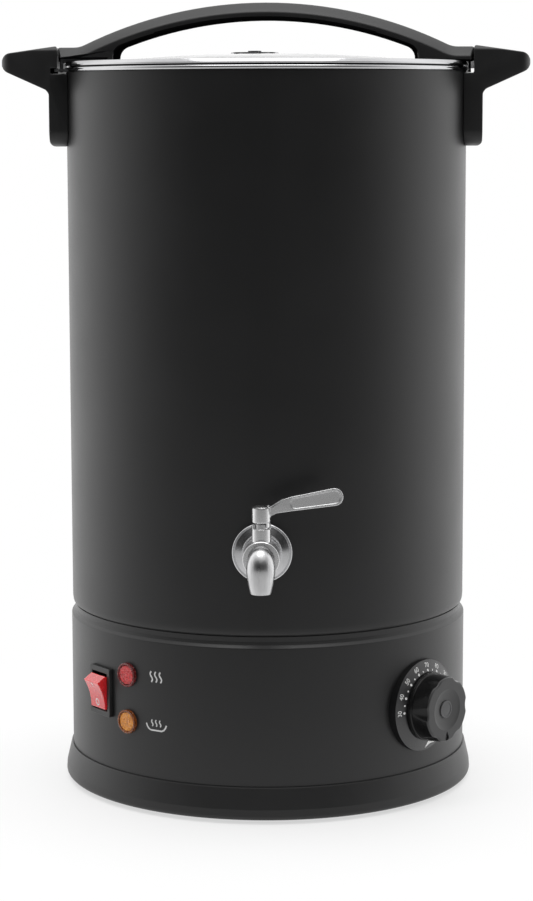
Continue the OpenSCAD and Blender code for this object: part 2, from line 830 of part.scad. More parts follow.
module tap_body() {
    barrel_round = 60;
    color([0.8, 0.8, 0.81]) difference() {
        on_tap_axis() rotate_extrude() polygon(concat(
            [[0, shank_end], [shank_r - 1, shank_end], [shank_r, shank_end + 1],
             [shank_r, z_seat_face], [barrel_r - 0.5, z_seat_face],
             [barrel_r, z_seat_face + 0.5]],
            arc(barrel_r - 2.5, cavity_front - 2, 2.5, 0, barrel_round, 4),
            [[0, cavity_front + 0.17]]));
        on_tap_axis() {
            translate([0, 0, shank_end - over]) cylinder(r = port_r, h = far);
            translate([0, 0, cavity_back]) cylinder(r = cavity_r, h = far);
        }
        translate([0, y_stem, z_tap + bonnet_low]) cylinder(r = bonnet_r + run_fit, h = far);
        translate([0, y_stem, z_tap]) cylinder(r = stem_r + run_fit, h = far);
    }
}

module spout_profile() {
    polygon([
        [0, 7.2], [2.6, 6.6], [5, 4.4], [6.6, 1.4], [spout_r - 0.15, -0.8],
        [spout_r, -2.6], [spout_r - 0.05, -5], [spout_r - 0.6, -spout_drop * 0.52],
        [spout_end_r + 0.25, -spout_drop + 1], [spout_end_r, -spout_drop + 0.3],
        [spout_end_r - 0.5, -spout_drop], [0, -spout_drop]]);
}

module tap_spout() {
    plug_l = 3;
    chamber_r = outlet_r + 1.2;
    color([0.82, 0.82, 0.83]) difference() {
        union() {
            difference() {
                translate([0, y_spout, z_tap]) rotate_extrude() spout_profile();
                on_tap_axis() translate([-far, -far, 0])
                    cube([2 * far, 2 * far, cavity_front + 0.2]);
            }
            on_tap_axis() {
                translate([0, 0, cavity_front - plug_l + 0.2])
                    cylinder(r = cavity_r - run_fit, h = plug_l + 2);
                translate([0, 0, cavity_front + 0.2])
                    cylinder(r1 = spout_r - 0.4, r2 = spout_r - 1.6, h = spout_out - cavity_front);
            }
        }
        on_tap_axis() cylinder(r = port_r, h = spout_out);
        translate([0, y_spout, z_tap - spout_drop - over])
            cylinder(r = outlet_r, h = spout_drop + over);
        translate([0, y_spout, z_tap]) sphere(r = chamber_r);
        translate([0, y_stem, z_tap]) sphere(r = ball_r + run_fit);
    }
}

// Two sealing rings that hold the ball, in front of it and behind it.
module tap_seats() {
    color([0.93, 0.93, 0.9]) on_tap_axis() difference() {
        for (z = [cavity_back, cavity_front - 2.8 - seat_l]) translate([0, 0, z]) difference() {
            cylinder(r = cavity_r - run_fit, h = seat_l);
            translate([0, 0, -over]) cylinder(r = port_r, h = seat_l + 2 * over);
        }
        translate([0, 0, stem_out]) sphere(r = ball_r + run_fit);
    }
}

module tap_bonnet() {
    notch_h = 2.6;
    color([0.8, 0.8, 0.81]) translate([0, y_stem, z_tap]) difference() {
        translate([0, 0, bonnet_low]) cylinder(r = bonnet_r, h = bonnet_top - bonnet_low);
        translate([0, 0, bonnet_low - over]) cylinder(r = stem_r + run_fit, h = far);
        translate([0, 0, bonnet_top - notch_h]) rotate([0, 0, lug_end - tap_turn - lug_span - 4])
            rotate_extrude(angle = tap_turn + lug_span + 8)
                translate([stem_r + 1.2, 0]) square([bonnet_r, notch_h + over]);
    }
}

module tap_ball() {
    slot_w = 2;
    color([0.85, 0.85, 0.86]) translate([0, y_stem, z_tap]) difference() {
        sphere(r = ball_r);
        rotate([90, 0, 0]) translate([0, 0, -far / 2]) cylinder(r = port_r, h = far);
        translate([-slot_w / 2, -far / 2, ball_r - 1.6]) cube([slot_w, far, 5]);
    }
}

module tap_stem() {
    slot_w = 2;
    flat = slot_w / 2 - push_fit / 2;
    color([0.75, 0.75, 0.77]) translate([0, y_stem, z_tap]) difference() {
        translate([0, 0, ball_r - 1.6 + push_fit])
            cylinder(r = stem_r, h = stem_top - ball_r + 1.6 - push_fit);
        for (s = [0, 180]) rotate([0, 0, s]) translate([flat, -far / 2, 0])
            cube([far, far, ball_r + 0.2]);
    }
}

module lever_outline() {
    r = paddle_w / 2;
    end_x = lever_l - r;
    start_x = 16;
    rise = tan(lever_slope);
    mid = hub_h * 0.55;
    hull() {
        translate([start_x, mid + 5]) circle(r = r - 0.9, $fn = blend_fn);
        translate([end_x, mid + 5 + (end_x - start_x) * rise]) circle(r = r, $fn = blend_fn);
    }
    polygon([[0, mid - 2.2], [hub_r, mid - 1.6], [8, mid], [start_x, mid + 1.2],
             [start_x, mid + 8.8], [11, mid + 7.4], [hub_r, mid + 3.6], [0, mid + 3.6]]);
}

module lever_panel() {
    r = paddle_w / 2 - 1.3;
    end_x = lever_l - paddle_w / 2;
    start_x = 18;
    rise = tan(lever_slope);
    mid = hub_h * 0.55 + 5;
    hull() {
        translate([start_x, mid + (start_x - 16) * rise]) circle(r = r - 0.7, $fn = blend_fn);
        translate([end_x, mid + (end_x - 16) * rise]) circle(r = r, $fn = blend_fn);
    }
}

module tap_lever() {
    panel_d = 0.5;
    color([0.8, 0.8, 0.81]) translate([0, y_stem, z_hub]) difference() {
        union() {
            rotate_extrude() polygon(concat(
                [[0, 0], [hub_r - 0.4, 0], [hub_r, 0.4], [hub_r, hub_h - 1.2]],
                arc(0, hub_h - 1.6, hub_r, 14, 90, 7, 1.6)));
            translate([0, paddle_t / 2, 0]) rotate([90, 0, 0]) linear_extrude(paddle_t)
                lever_outline();
            rotate([0, 0, lug_end - lug_span]) translate([0, 0, -2.4])
                rotate_extrude(angle = lug_span)
                    translate([stem_r + 1.4, 0]) square([hub_r - 0.2 - stem_r - 1.4, 2.6]);
        }
        translate([0, panel_d - paddle_t / 2, 0]) rotate([90, 0, 0]) linear_extrude(5)
            lever_panel();
        translate([0, 0, -over])
            cylinder(r = stem_r + push_fit / 2, h = stem_top + z_tap - z_hub + over);
    }
}

// ---- Dial, knob and thermostat ----

module on_dial() {
    on_wall(dial_az, base_r, z_dial) children();
}

module stat_screw_places() {
    on_dial() for (x = [-stat_screw_x, stat_screw_x]) translate([x, 0, 0]) children();
}

// The dial is flat under the knob and slopes down to its rim, where the numbers stand.
module dial_plate() {
    wall = 1.4;
    flat_r = knob_r;
    color([0.12, 0.12, 0.12]) difference() {
        on_dial() difference() {
            rotate_extrude() polygon([
                [0, -6], [dial_r, -6], [dial_r, dial_proud - 0.4], [dial_r - 0.5, dial_proud],
                [flat_r, dial_top], [0, dial_top]]);
            translate([0, 0, -8]) cylinder(r = dial_r - wall, h = 8 + dial_proud - wall);
            translate([0, 0, -over]) cylinder(r = bush_r + 0.2, h = 8);
            for (x = [-stat_screw_x, stat_screw_x]) translate([x, 0, -over])
                cylinder(r = stat_screw_r + 0.2, h = 8);
        }
        column(base_r + 0.02);
    }
}

module thermostat_body() {
    bracket = 1.5;
    color([0.68, 0.69, 0.7]) on_wall(dial_az, stat_in, z_dial) difference() {
        union() {
            translate([-stat_w / 2, -stat_h / 2, -bracket]) cube([stat_w, stat_h, bracket]);
            translate([0, 0, -bracket - stat_d]) cylinder(r = stat_h / 2, h = stat_d);
            cylinder(r = bush_r, h = base_r - stat_in + dial_top - 0.2);
        }
        translate([0, 0, -bracket - 6]) cylinder(r = shaft_r + run_fit, h = far);
        for (x = [-stat_screw_x, stat_screw_x]) translate([x, 0, -bracket - 7])
            cylinder(r = stat_screw_r + push_fit / 2, h = 20);
    }
}

module thermostat_screws() {
    color([0.75, 0.76, 0.78]) stat_screw_places() translate([0, 0, dial_top])
        pan_screw(stat_screw_r, base_r - stat_in + dial_top + 5, 3.2, 2);
}

// The sensing bulb lies against the heater plate and a thin pipe joins it to the thermostat.
module thermostat_bulb() {
    pipe_r = 1;
    bulb_r = 3;
    az = dial_az - 90;
    x = heater_r - 2 * bulb_r - 1;
    z_bulb = z_heater - bulb_r - 0.2;
    drop = z_bulb - z_dial;
    color([0.72, 0.5, 0.32]) {
        rotate([0, 0, az + 12]) rotate_extrude(angle = 50) translate([x, z_bulb])
            circle(r = bulb_r);
        rotate([0, 0, az - 1]) rotate_extrude(angle = 14) translate([x, z_bulb])
            circle(r = pipe_r);
        rotate([0, 0, az]) translate([x, 0, z_bulb - drop]) cylinder(r = pipe_r, h = drop);
        on_wall(dial_az, x, z_dial) translate([0, 0, -pipe_r])
            cylinder(r = pipe_r, h = stat_in - 1.5 - stat_d - x + pipe_r);
    }
}

module thermostat_shaft() {
    color([0.75, 0.76, 0.77]) on_wall(dial_az, stat_in, z_dial) difference() {
        translate([0, 0, -6.5]) cylinder(r = shaft_r, h = 6.5 + shaft_top);
        translate([shaft_r - 1, -far / 2, base_r - stat_in + dial_top + knob_gap + 2])
            cube([far, far, far]);
    }
}

// The knob: a round skirt, a grip with finger scallops that run out towards the skirt, a
// dished face, a drop-shaped pointer at the bottom and a hollow back with a hub.
module knob() {
    grip_h = knob_h - skirt_h - 0.8;
    slope = scallop_d / grip_h;
    reach = knob_r - 0.5 + scallop_r - scallop_d;
    color([0.1, 0.1, 0.1]) on_dial() translate([0, 0, dial_top]) difference() {
        rotate_extrude() knob_body_profile();
        for (i = [0:knob_lobes - 1]) rotate([0, 0, -90 + 360 * (i + 0.5) / knob_lobes])
            translate([reach, 0, knob_h - grip_h])
                cylinder(r1 = scallop_r - scallop_d, r2 = scallop_r + slope, h = grip_h + over);
        translate([0, 0, -over]) difference() {
            cylinder(r = knob_r - 2.2, h = knob_hollow + over);
            cylinder(r = hub_out_r, h = knob_hollow + over);
        }
        translate([0, 0, -over]) cylinder(r = shaft_r + run_fit, h = knob_h - 4.5 + over);
        translate([0, 0, cap_floor]) cylinder(r = cap_r + push_fit / 2, h = knob_h);
        pointer_drop();
    }
}

module knob_body_profile() {
    grip_r = knob_r - 0.5;
    edge_r = 1;
    polygon(concat(
        [[0, knob_gap], [knob_r - 0.4, knob_gap], [knob_r, knob_gap + 0.5],
         [knob_r, skirt_h - 0.6], [grip_r, skirt_h + 0.4]],
        arc(grip_r - knob_draft - edge_r, knob_h - edge_r, edge_r, 5, 90, 4),
        [[dish_r + 0.6, knob_h]],
        [for (i = [0:8]) let (r = dish_r * (1 - i / 8))
            [r, knob_h - dish_drop - dish_d * (1 - pow(r / dish_r, 2))]]));
}

module pointer_drop() {
    depth = 0.8;
    drop_r = 1.4;
    tip = dish_r + 1.2;
    end = knob_r - 3.2;
    translate([0, 0, knob_h - depth]) {
        translate([0, -end, 0]) cylinder(r = drop_r, h = 5, $fn = blend_fn);
        linear_extrude(5) polygon([[0, -tip], [-drop_r * 0.96, -end + drop_r * 0.28],
                                   [drop_r * 0.96, -end + drop_r * 0.28]]);
    }
}

module knob_cap() {
    color([0.2, 0.2, 0.2]) on_dial() translate([0, 0, dial_top + cap_floor])
        cylinder(r = cap_r, h = cap_sink + 1);
}

// ---- Switch ----

module on_switch() {
    on_wall(-switch_az, base_r, z_switch) children();
}

module switch_body() {
    color([0.1, 0.1, 0.1]) difference() {
        union() {
            difference() {
                on_switch() translate([0, 0, -2]) rounded_slab(bezel_w, bezel_h, 2 + bezel_proud, 1);
                column(base_r + 0.02);
            }
            on_switch() translate([-can_w / 2, -can_h / 2, -can_d]) cube([can_w, can_h, can_d]);
        }
        on_switch() {
            translate([-well_w / 2, -well_h / 2, -well_d]) cube([well_w, well_h, well_d + 9]);
            translate([-can_w / 2 + 0.4, 0, 0]) rotate([0, 90, 0])
                cylinder(r = pin_r + run_fit, h = can_w - 0.8);
        }
    }
}

// The rocker half way between off and on: a shallow hollow front between two raised ends.
module rocker_blank() {
    hollow_r = (pow(rocker_tip_y, 2) + pow(rocker_hollow, 2)) / (2 * rocker_hollow);
    low = -5.5;
    difference() {
        rotate([90, 0, 90]) translate([0, 0, -rocker_w / 2]) linear_extrude(rocker_w)
            polygon([[-rocker_tip_y, rocker_tip_z], [-rocker_end_y, 0], [-5.5, low],
                     [5.5, low], [rocker_end_y, 0], [rocker_tip_y, rocker_tip_z]]);
        translate([-rocker_w, 0, rocker_tip_z - rocker_hollow + hollow_r]) rotate([0, 90, 0])
            cylinder(r = hollow_r, h = 2 * rocker_w);
    }
}

module switch_rocker() {
    color([0.78, 0.06, 0.08]) on_switch() rotate([rocker_turn / 2, 0, 0]) {
        rocker_blank();
        translate([-rocker_w / 2 - pin_reach, 0, 0]) rotate([0, 90, 0])
            cylinder(r = pin_r, h = rocker_w + 2 * pin_reach);
    }
}

module switch_terminals() {
    color([0.8, 0.72, 0.5]) on_switch() for (y = [-7, 0, 7])
        translate([-2.4, y - 0.4, -can_d - 8]) cube([4.8, 0.8, 8]);
}

// ---- Lamps ----

module lamp(z) {
    on_lamp(z) rotate_extrude() polygon([
        [0, -14], [lamp_body_r, -14], [lamp_body_r, -clip_t], [lamp_body_r, 0.4],
        [0, 0.4]]);
    difference() {
        on_lamp(z) rotate_extrude() polygon(concat(
            [[0, -2], [lamp_r, -2], [lamp_r, lamp_proud - 0.5],
             [lamp_r - 0.5, lamp_proud], [lamp_r - 1, lamp_proud], [lamp_r - 1.6, lamp_proud - 0.9]],
            [for (i = [0:5]) let (r = (lamp_r - 1.9) * (1 - i / 5))
                [r, lamp_proud - 0.2 - 0.8 * pow(r / lamp_r, 2)]]));
        column(base_r + 0.02);
    }
}

module on_lamp(z) {
    on_wall(-lamp_az, base_r, z) children();
}

module lamp_red() {
    color([0.7, 0.1, 0.1]) lamp(lamp_zs[0]);
}

module lamp_amber() {
    color([0.85, 0.45, 0.1]) lamp(lamp_zs[1]);
}

module lamp_clips() {
    color([0.15, 0.15, 0.15]) for (z = lamp_zs) on_lamp(z)
        translate([0, 0, -shell_t - 0.3 - clip_t]) difference() {
            cylinder(r = lamp_body_r + 2.2, h = clip_t);
            translate([0, 0, -over]) cylinder(r = lamp_body_r + push_fit, h = clip_t + 2 * over);
        }
}

// ---- Power inlet and terminals ----

module on_inlet() {
    on_wall(180, base_r, z_inlet) children();
}

module inlet_screw_places() {
    on_inlet() for (x = [-inlet_pitch / 2, inlet_pitch / 2]) translate([x, 0, 0]) children();
}

module socket_outline() {
    c = 4;
    polygon([[-socket_w / 2, -socket_h / 2], [socket_w / 2, -socket_h / 2],
             [socket_w / 2, socket_h / 2 - c], [socket_w / 2 - c, socket_h / 2],
             [c - socket_w / 2, socket_h / 2], [-socket_w / 2, socket_h / 2 - c]]);
}

module power_inlet() {
    depth = socket_d - inlet_face + socket_floor;
    color([0.08, 0.08, 0.08]) difference() {
        union() {
            difference() {
                on_inlet() translate([0, 0, -4]) rounded_slab(inlet_w, inlet_fh, 4 + inlet_face, 3);
                column(base_r + 0.02);
            }
            on_inlet() translate([-socket_out_w / 2, -socket_out_h / 2, -depth])
                cube([socket_out_w, socket_out_h, depth]);
        }
        on_inlet() translate([0, 0, inlet_face - socket_d]) linear_extrude(socket_d + over)
            socket_outline();
        inlet_screw_places() translate([0, 0, -8])
            cylinder(r = inlet_screw_r + push_fit, h = 8 + inlet_face + over);
    }
}

module inlet_pins() {
    pin_l = 11;
    color([0.8, 0.8, 0.78]) on_inlet() for (p = [[-7, -1.5], [0, 2.5], [7, -1.5]])
        translate([p[0] - 1, p[1] - 2, inlet_face - socket_d]) cube([2, 4, pin_l]);
}

module inlet_screws() {
    color([0.75, 0.76, 0.78]) inlet_screw_places() translate([0, 0, inlet_face])
        pan_screw(inlet_screw_r, inlet_face + 6, 2.6, 1.6);
}

module terminal_block() {
    ways = 3;
    pitch = 11;
    w = 18;
    h = 14;
    color([0.9, 0.88, 0.82]) translate([-ways * pitch / 2, -w / 2, z_deck]) difference() {
        cube([ways * pitch, w, h]);
        for (i = [0:ways - 1], y = [5, w - 5]) translate([pitch * (i + 0.5), y, h - 6])
            cylinder(r = 2.4, h = 7, $fn = blend_fn);
    }
}

// ---- Lid ----

module lid_gasket() {
    color([0.2, 0.2, 0.2]) rotate_extrude() polygon([
        [gasket_lip - lip_w, z_rim - lip_h + 0.5], [gasket_lip - lip_w + 0.5, z_rim - lip_h],
        [gasket_lip, z_rim - lip_h], [gasket_lip, z_gasket], [gasket_out, z_gasket],
        [gasket_out, lid_under], [gasket_lip - lip_w, lid_under]]);
}

// Points on the dome, from the centre outwards, raised from a given level.
function dome_points(level) = [for (i = [0:12]) let (r = dome_r * i / 12)
    [r, level + dome_rise * (1 - pow(r / dome_r, 2))]];

function reversed(list) = [for (i = [len(list) - 1:-1:0]) list[i]];

module lid_pan() {
    soft = 0.6;
    color([0.8, 0.81, 0.82]) difference() {
        rotate_extrude() polygon(concat(
            dome_points(lid_edge),
            arc(hem_r - soft, lid_edge - soft, soft, 90, 0, 3),
            [[hem_r, hem_low], [hem_r - hem_w, hem_low], [hem_r - hem_w, lid_under]],
            reversed(dome_points(lid_under))));
        lid_screw_places() translate([0, 0, lid_under - over])
            cylinder(r = lid_screw_r + 0.2, h = lid_t + 3);
        translate([vent_x, 0, lid_under]) cylinder(r = 1.5, h = 20);
    }
}

// Everything below the lid's upper surface, used to seat pieces on it.
module under_lid() {
    rotate_extrude() polygon(concat(dome_points(lid_edge),
        [[shell_r, lid_edge], [shell_r, lid_edge - 9], [0, lid_edge - 9]]));
}

module lid_screw_places() {
    for (x = [-lid_screw_x, lid_screw_x], y = [-lid_screw_y, lid_screw_y])
        translate([x, y, 0]) children();
}

module bevelled_disc(r) {
    translate([0, 0, arch_z]) rotate([90, 0, 0]) rotate_extrude($fn = 240) polygon([
        [0, -half_d], [r - bevel_h, -half_d], [r, bevel_d - half_d], [r, half_d - bevel_d],
        [r - bevel_h, half_d], [0, half_d]]);
}

module flat_ends() {
    low = lid_edge - over;
    rotate([90, 0, 90]) translate([0, 0, -foot_r_max]) linear_extrude(2 * foot_r_max)
        polygon([[-half_d, low], [half_d, low], [half_d, z_end - bevel_h],
                 [half_d - bevel_d, z_end], [bevel_d - half_d, z_end], [-half_d, z_end - bevel_h]]);
}

// Fills the corner between the arch and a flat end with a concave blend.
module arch_blend() {
    cz = z_end + blend_r;
    cx = sqrt(pow(arch_r + blend_r, 2) - pow(cz - arch_z, 2));
    k = (arch_r - bevel_h - 4) / (arch_r + blend_r);
    difference() {
        translate([0, half_d, 0]) rotate([90, 0, 0]) linear_extrude(handle_d) polygon([
            [cx, cz], [cx * k, arch_z + (cz - arch_z) * k], [cx, z_end - bevel_h - 1]]);
        translate([cx, 0, cz]) rotate([90, 0, 0]) rotate_extrude() polygon([
            [0, -half_d - over], [blend_r + bevel_h, -half_d - over], [blend_r + bevel_h, -half_d],
            [blend_r, bevel_d - half_d], [blend_r, half_d - bevel_d],
            [blend_r + bevel_h, half_d], [blend_r + bevel_h, half_d + over], [0, half_d + over]]);
    }
}

module grip_opening() {
    inner = arch_r - arch_t;
    kx = grip_half - grip_corner;
    kz = sqrt(pow(inner - grip_corner, 2) - kx * kx);
    low = lid_edge - over - arch_z;
    translate([0, far, arch_z]) rotate([90, 0, 0]) linear_extrude(2 * far) {
        translate([-grip_half, low]) square([2 * grip_half, kz - low]);
        for (s = [-1, 1]) translate([s * kx, kz]) circle(r = grip_corner);
        intersection() {
            circle(r = inner, $fn = 240);
            polygon([[0, 0], [2 * kx, 2 * kz], [-2 * kx, 2 * kz]]);
        }
    }
}

module lid_handle() {
    color([0.12, 0.12, 0.12]) difference() {
        intersection() {
            union() {
                bevelled_disc(arch_r);
                flat_ends();
                arch_blend();
                mirror([1, 0, 0]) arch_blend();
            }
            translate([0, 0, lid_edge]) cylinder(r = foot_r_max, h = arch_top);
        }
        grip_opening();
        under_lid();
        for (turn = [0, 180]) rotate([0, 0, turn]) {
            polar_block(lock_root - push_fit, far, lock_from - 0.3, lock_to + 6, lid_edge - over,
                        lid_edge + lock_t + push_fit);
        }
        lid_screw_places() translate([0, 0, lid_edge - over])
            cylinder(r = lid_screw_r - 0.1 + run_fit * 2, h = lid_screw_in + over);
    }
}

// A block bounded by two radii, two angles and two heights.
module polar_block(r0, r1, a0, a1, low, high) {
    intersection() {
        tube(r1, r0, low, high);
        translate([0, 0, low - over]) linear_extrude(high - low + 2 * over)
            polygon([[0, 0], [far * cos(a0), far * sin(a0)], [far * cos(a1), far * sin(a1)]]);
    }
}

// A steel plate under each end of the handle; its tongue turns into the side handle's groove.
module lock_plate() {
    out = lock_in + lock_t;
    difference() {
        union() {
            polar_block(lock_root, out, lock_from, lock_to, lid_edge, lid_edge + lock_t);
            polar_block(lock_in, out, lock_from, lock_to, z_tongue, lid_edge + lock_t);
            polar_block(lock_in, out, lock_from, tongue_az + tongue_span, z_tongue,
                        z_tongue + lock_t);
            polar_block(lock_in, tongue_r, tongue_az, tongue_az + tongue_span, z_tongue,
                        z_tongue + lock_t);
        }
        translate([lid_screw_x, lid_screw_y, lid_edge - over])
            cylinder(r = lid_screw_r + 0.2, h = lock_t + 2 * over);
    }
}

module lock_plates() {
    color([0.75, 0.76, 0.77]) for (turn = [0, 180]) rotate([0, 0, turn]) lock_plate();
}

module lid_screws() {
    color([0.75, 0.76, 0.78]) lid_screw_places() translate([0, 0, lid_under]) rotate([180, 0, 0])
        pan_screw(lid_screw_r - 0.1, lid_t + lid_screw_in - 0.6, 4, 2.2);
}

module vent_disc() {
    rise = 0.7;
    color([0.8, 0.81, 0.82]) difference() {
        translate([vent_x, 0, lid_edge + dome_rise - 1]) cylinder(r = vent_r, h = 1 + rise);
        under_lid();
        translate([vent_x, 0, lid_edge]) cylinder(r = 1.5, h = 20);
    }
}

module vent_cap() {
    color([0.75, 0.76, 0.77]) translate([vent_x, 0, lid_edge + dome_rise + 0.7]) rotate_extrude()
        polygon([[0, 0], [vent_cap_r, 0], [vent_cap_r, 0.4], [vent_cap_r - 0.6, 0.9], [0, 0.9]]);
}

// ---- Draw ----

outer_shell();
base_shell();
inner_pot();
insulation();
foot_ring();
bottom_plate();
rubber_feet();
bottom_screws();
heater_plate();
heating_element();
heater_clamp();
clamp_nut();
thermal_cutout();
side_handle_left();
side_handle_right();
handle_screws();
tap_body();
tap_spout();
tap_flange();
tap_washer_outer();
tap_washer_inner();
tap_spacer();
tap_nut();
tap_seats();
tap_bonnet();
dial_plate();
thermostat_body();
thermostat_bulb();
thermostat_screws();
switch_body();
switch_terminals();
lamp_red();
lamp_amber();
lamp_clips();
power_inlet();
inlet_pins();
inlet_screws();
terminal_block();
lid_gasket();
lid_pan();
lid_handle();
lid_screws();
lock_plates();
vent_disc();
vent_cap();
tap_ball();
tap_stem();
tap_lever();
knob();
knob_cap();
thermostat_shaft();
switch_rocker();
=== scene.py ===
import math

import bmesh
import bpy
from mathutils import Matrix, Vector


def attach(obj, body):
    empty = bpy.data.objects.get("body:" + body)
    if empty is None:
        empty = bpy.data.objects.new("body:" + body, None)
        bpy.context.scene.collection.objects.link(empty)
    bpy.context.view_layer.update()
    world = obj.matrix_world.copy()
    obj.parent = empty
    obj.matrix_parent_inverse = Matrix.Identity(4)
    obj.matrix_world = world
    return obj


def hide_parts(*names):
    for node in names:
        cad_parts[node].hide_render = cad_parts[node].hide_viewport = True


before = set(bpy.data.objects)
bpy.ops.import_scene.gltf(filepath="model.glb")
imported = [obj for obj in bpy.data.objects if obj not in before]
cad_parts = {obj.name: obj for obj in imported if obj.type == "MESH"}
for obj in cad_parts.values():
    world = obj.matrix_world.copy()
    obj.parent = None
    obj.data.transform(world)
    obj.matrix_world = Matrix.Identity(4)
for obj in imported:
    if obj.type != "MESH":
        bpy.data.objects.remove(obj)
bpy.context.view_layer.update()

# Lengths are in millimetres, as in the part's source, and add_piece turns them into metres. Only
# the floor, the light and the studio are in metres. Azimuths are in degrees and grow to the right
# of the front, which faces -Y, and +Z is up.
MM = 0.001
PER_METRE = 1000.0

# Outer wall
SHELL_R = 112.0
SHELL_T = 1.0
Z_WALL = 102.5
Z_RIM = 401.0

# Base wall, and the collar on it that runs up inside the outer wall
BASE_R = 112.7
COLLAR_R = 110.9
Z_SEAM = 97.5

# Places of what sits in the walls
Z_TAP = 147.9
TAP_HOLE_R = 8.3
BOLT_AZS = (90, 270)
BOLT_ZS = (387.0, 370.0)
BOLT_HOLE_R = 2.6
DIAL_AZ = 50.0
Z_DIAL = 55.7
SHAFT_HOLE_R = 5.2
SCREW_XS = (-11.5, 11.5)
SCREW_HOLE_R = 2.2
SWITCH_AZ = -52.8
Z_SWITCH = 62.2
SWITCH_WINDOW = (17.8, 24.0)
LAMP_AZ = -41.25
LAMP_ZS = {"lamp_red": 74.9, "lamp_amber": 48.8}
LAMP_HOLE_R = 5.4
INLET_AZ = 180.0
Z_INLET = 51.7
INLET_WINDOW = (28.2, 20.4)
INLET_SCREW_XS = (-20, 20)
INLET_SCREW_R = 1.7

# Cutters start inside every wall and end outside all of them
CUT_IN = 100
CUT_OUT = 120
WINDOW_REACH = 12

# Steps round the large turned pieces
ROUND = 256

# Thickness of printed marks, and how far they stand off what carries them
PRINT_T = 0.05
PRINT_LIFT = 0.02


# ---- Mesh helpers ----

def clamp(value):
    return max(0.0, min(1.0, value))


def on_wall(azimuth, r, z):
    """Places a piece on the upright wall: local X runs right, Y up and Z out of the wall."""
    a = math.radians(azimuth)
    right = Vector((math.cos(a), math.sin(a), 0))
    out = Vector((math.sin(a), -math.cos(a), 0))
    up = Vector((0, 0, 1))
    m = Matrix((right, up, out)).transposed().to_4x4()
    m.translation = out * r + up * z
    return m


def soft_outline(points, closed=True, steps=4, support=0.25):
    """Rounds the corners of an outline. A point is (x, y) or (x, y, radius). Beside a rounded
    corner, a long edge gets a point at the distance support, which keeps its shading flat."""
    n = len(points)
    out = []
    for i, p in enumerate(points):
        here = Vector(p[:2])
        radius = p[2] if len(p) > 2 else 0
        at_end = not closed and i in (0, n - 1)
        if radius <= 0 or at_end:
            out.append(here)
            continue
        before = Vector(points[i - 1][:2]) - here
        after = Vector(points[(i + 1) % n][:2]) - here
        half = before.angle(after) / 2
        reach = min(radius / math.tan(half), before.length * 0.48, after.length * 0.48)
        start = here + before.normalized() * reach
        end = here + after.normalized() * reach
        if before.length > 4 * (reach + support):
            out.append(start + before.normalized() * support)
        for k in range(steps + 1):
            t = k / steps
            out.append(start * (1 - t) ** 2 + here * 2 * t * (1 - t) + end * t ** 2)
        if after.length > 4 * (reach + support):
            out.append(end + after.normalized() * support)
    return out


def arc(cx, cy, rx, ry, a0, a1, steps=8):
    """Points of an elliptic arc between two angles in degrees."""
    points = []
    for i in range(steps + 1):
        a = math.radians(a0 + (a1 - a0) * i / steps)
        points.append((cx + rx * math.cos(a), cy + ry * math.sin(a)))
    return points


def circle_points(r, count=48, cx=0.0, cy=0.0):
    return [(cx + r * math.cos(2 * math.pi * k / count), cy + r * math.sin(2 * math.pi * k / count))
            for k in range(count)]


def rectangle(w, h):
    return [(-w / 2, -h / 2), (w / 2, -h / 2), (w / 2, h / 2), (-w / 2, h / 2)]


def object_from(bm, name):
    """Puts a mesh in the scene as an object, and frees the BMesh."""
    mesh = bpy.data.meshes.new(name)
    bm.to_mesh(mesh)
    bm.free()
    obj = bpy.data.objects.new(name, mesh)
    bpy.context.scene.collection.objects.link(obj)
    return obj


def add_piece(name, bm, material, body, stands_for=(), place=None, smooth=32,
              weighted=False):
    """Makes an object from a mesh in millimetres, rides it on its body and names what it is.
    smooth is the angle above which an edge stays sharp, and weighted shades by the faces' areas,
    which keeps the flats of a bevelled piece even."""
    bmesh.ops.remove_doubles(bm, verts=bm.verts, dist=1e-4)
    if place is not None:
        bm.transform(place)
    bm.transform(Matrix.Scale(MM, 4))
    bmesh.ops.recalc_face_normals(bm, faces=bm.faces)
    obj = object_from(bm, name)
    obj.data.shade_smooth()
    obj.data.set_sharp_from_angle(angle=math.radians(smooth))
    for m in material if isinstance(material, list) else [material]:
        obj.data.materials.append(m)
    if weighted:
        normals = obj.modifiers.new("normals", "WEIGHTED_NORMAL")
        normals.keep_sharp = True
    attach(obj, body)
    if stands_for:
        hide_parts(*stands_for)


def ring(bm, radii, z):
    """A row of vertices round local Z, one for each radius. Where all are zero, the row repeats
    one vertex."""
    if not any(radii):
        return [bm.verts.new((0, 0, z))] * len(radii)
    row = []
    for k, r in enumerate(radii):
        a = 2 * math.pi * k / len(radii)
        row.append(bm.verts.new((r * math.cos(a), r * math.sin(a), z)))
    return row


def skin(bm, rows):
    """Adds the faces between rows of vertices that run round."""
    for low, high in zip(rows, rows[1:]):
        for quad in zip(low, low[1:] + low[:1], high[1:] + high[:1], high):
            corners = list(dict.fromkeys(quad))
            if len(corners) > 2:
                bm.faces.new(corners)


def lathe(outline, segments):
    """Turns a closed outline of (radius, height) about local Z."""
    bm = bmesh.new()
    rows = [ring(bm, [r] * segments, z) for r, z in outline]
    skin(bm, rows + rows[:1])
    return bm


def slab(outline, low, high):
    """A flat plate with the given outline between two heights."""
    bm = bmesh.new()
    bottom = [bm.verts.new((p[0], p[1], low)) for p in outline]
    top = [bm.verts.new((p[0], p[1], high)) for p in outline]
    bm.faces.new(bottom[::-1])
    bm.faces.new(top)
    n = len(outline)
    for i in range(n):
        j = (i + 1) % n
        bm.faces.new([bottom[i], bottom[j], top[j], top[i]])
    return bm


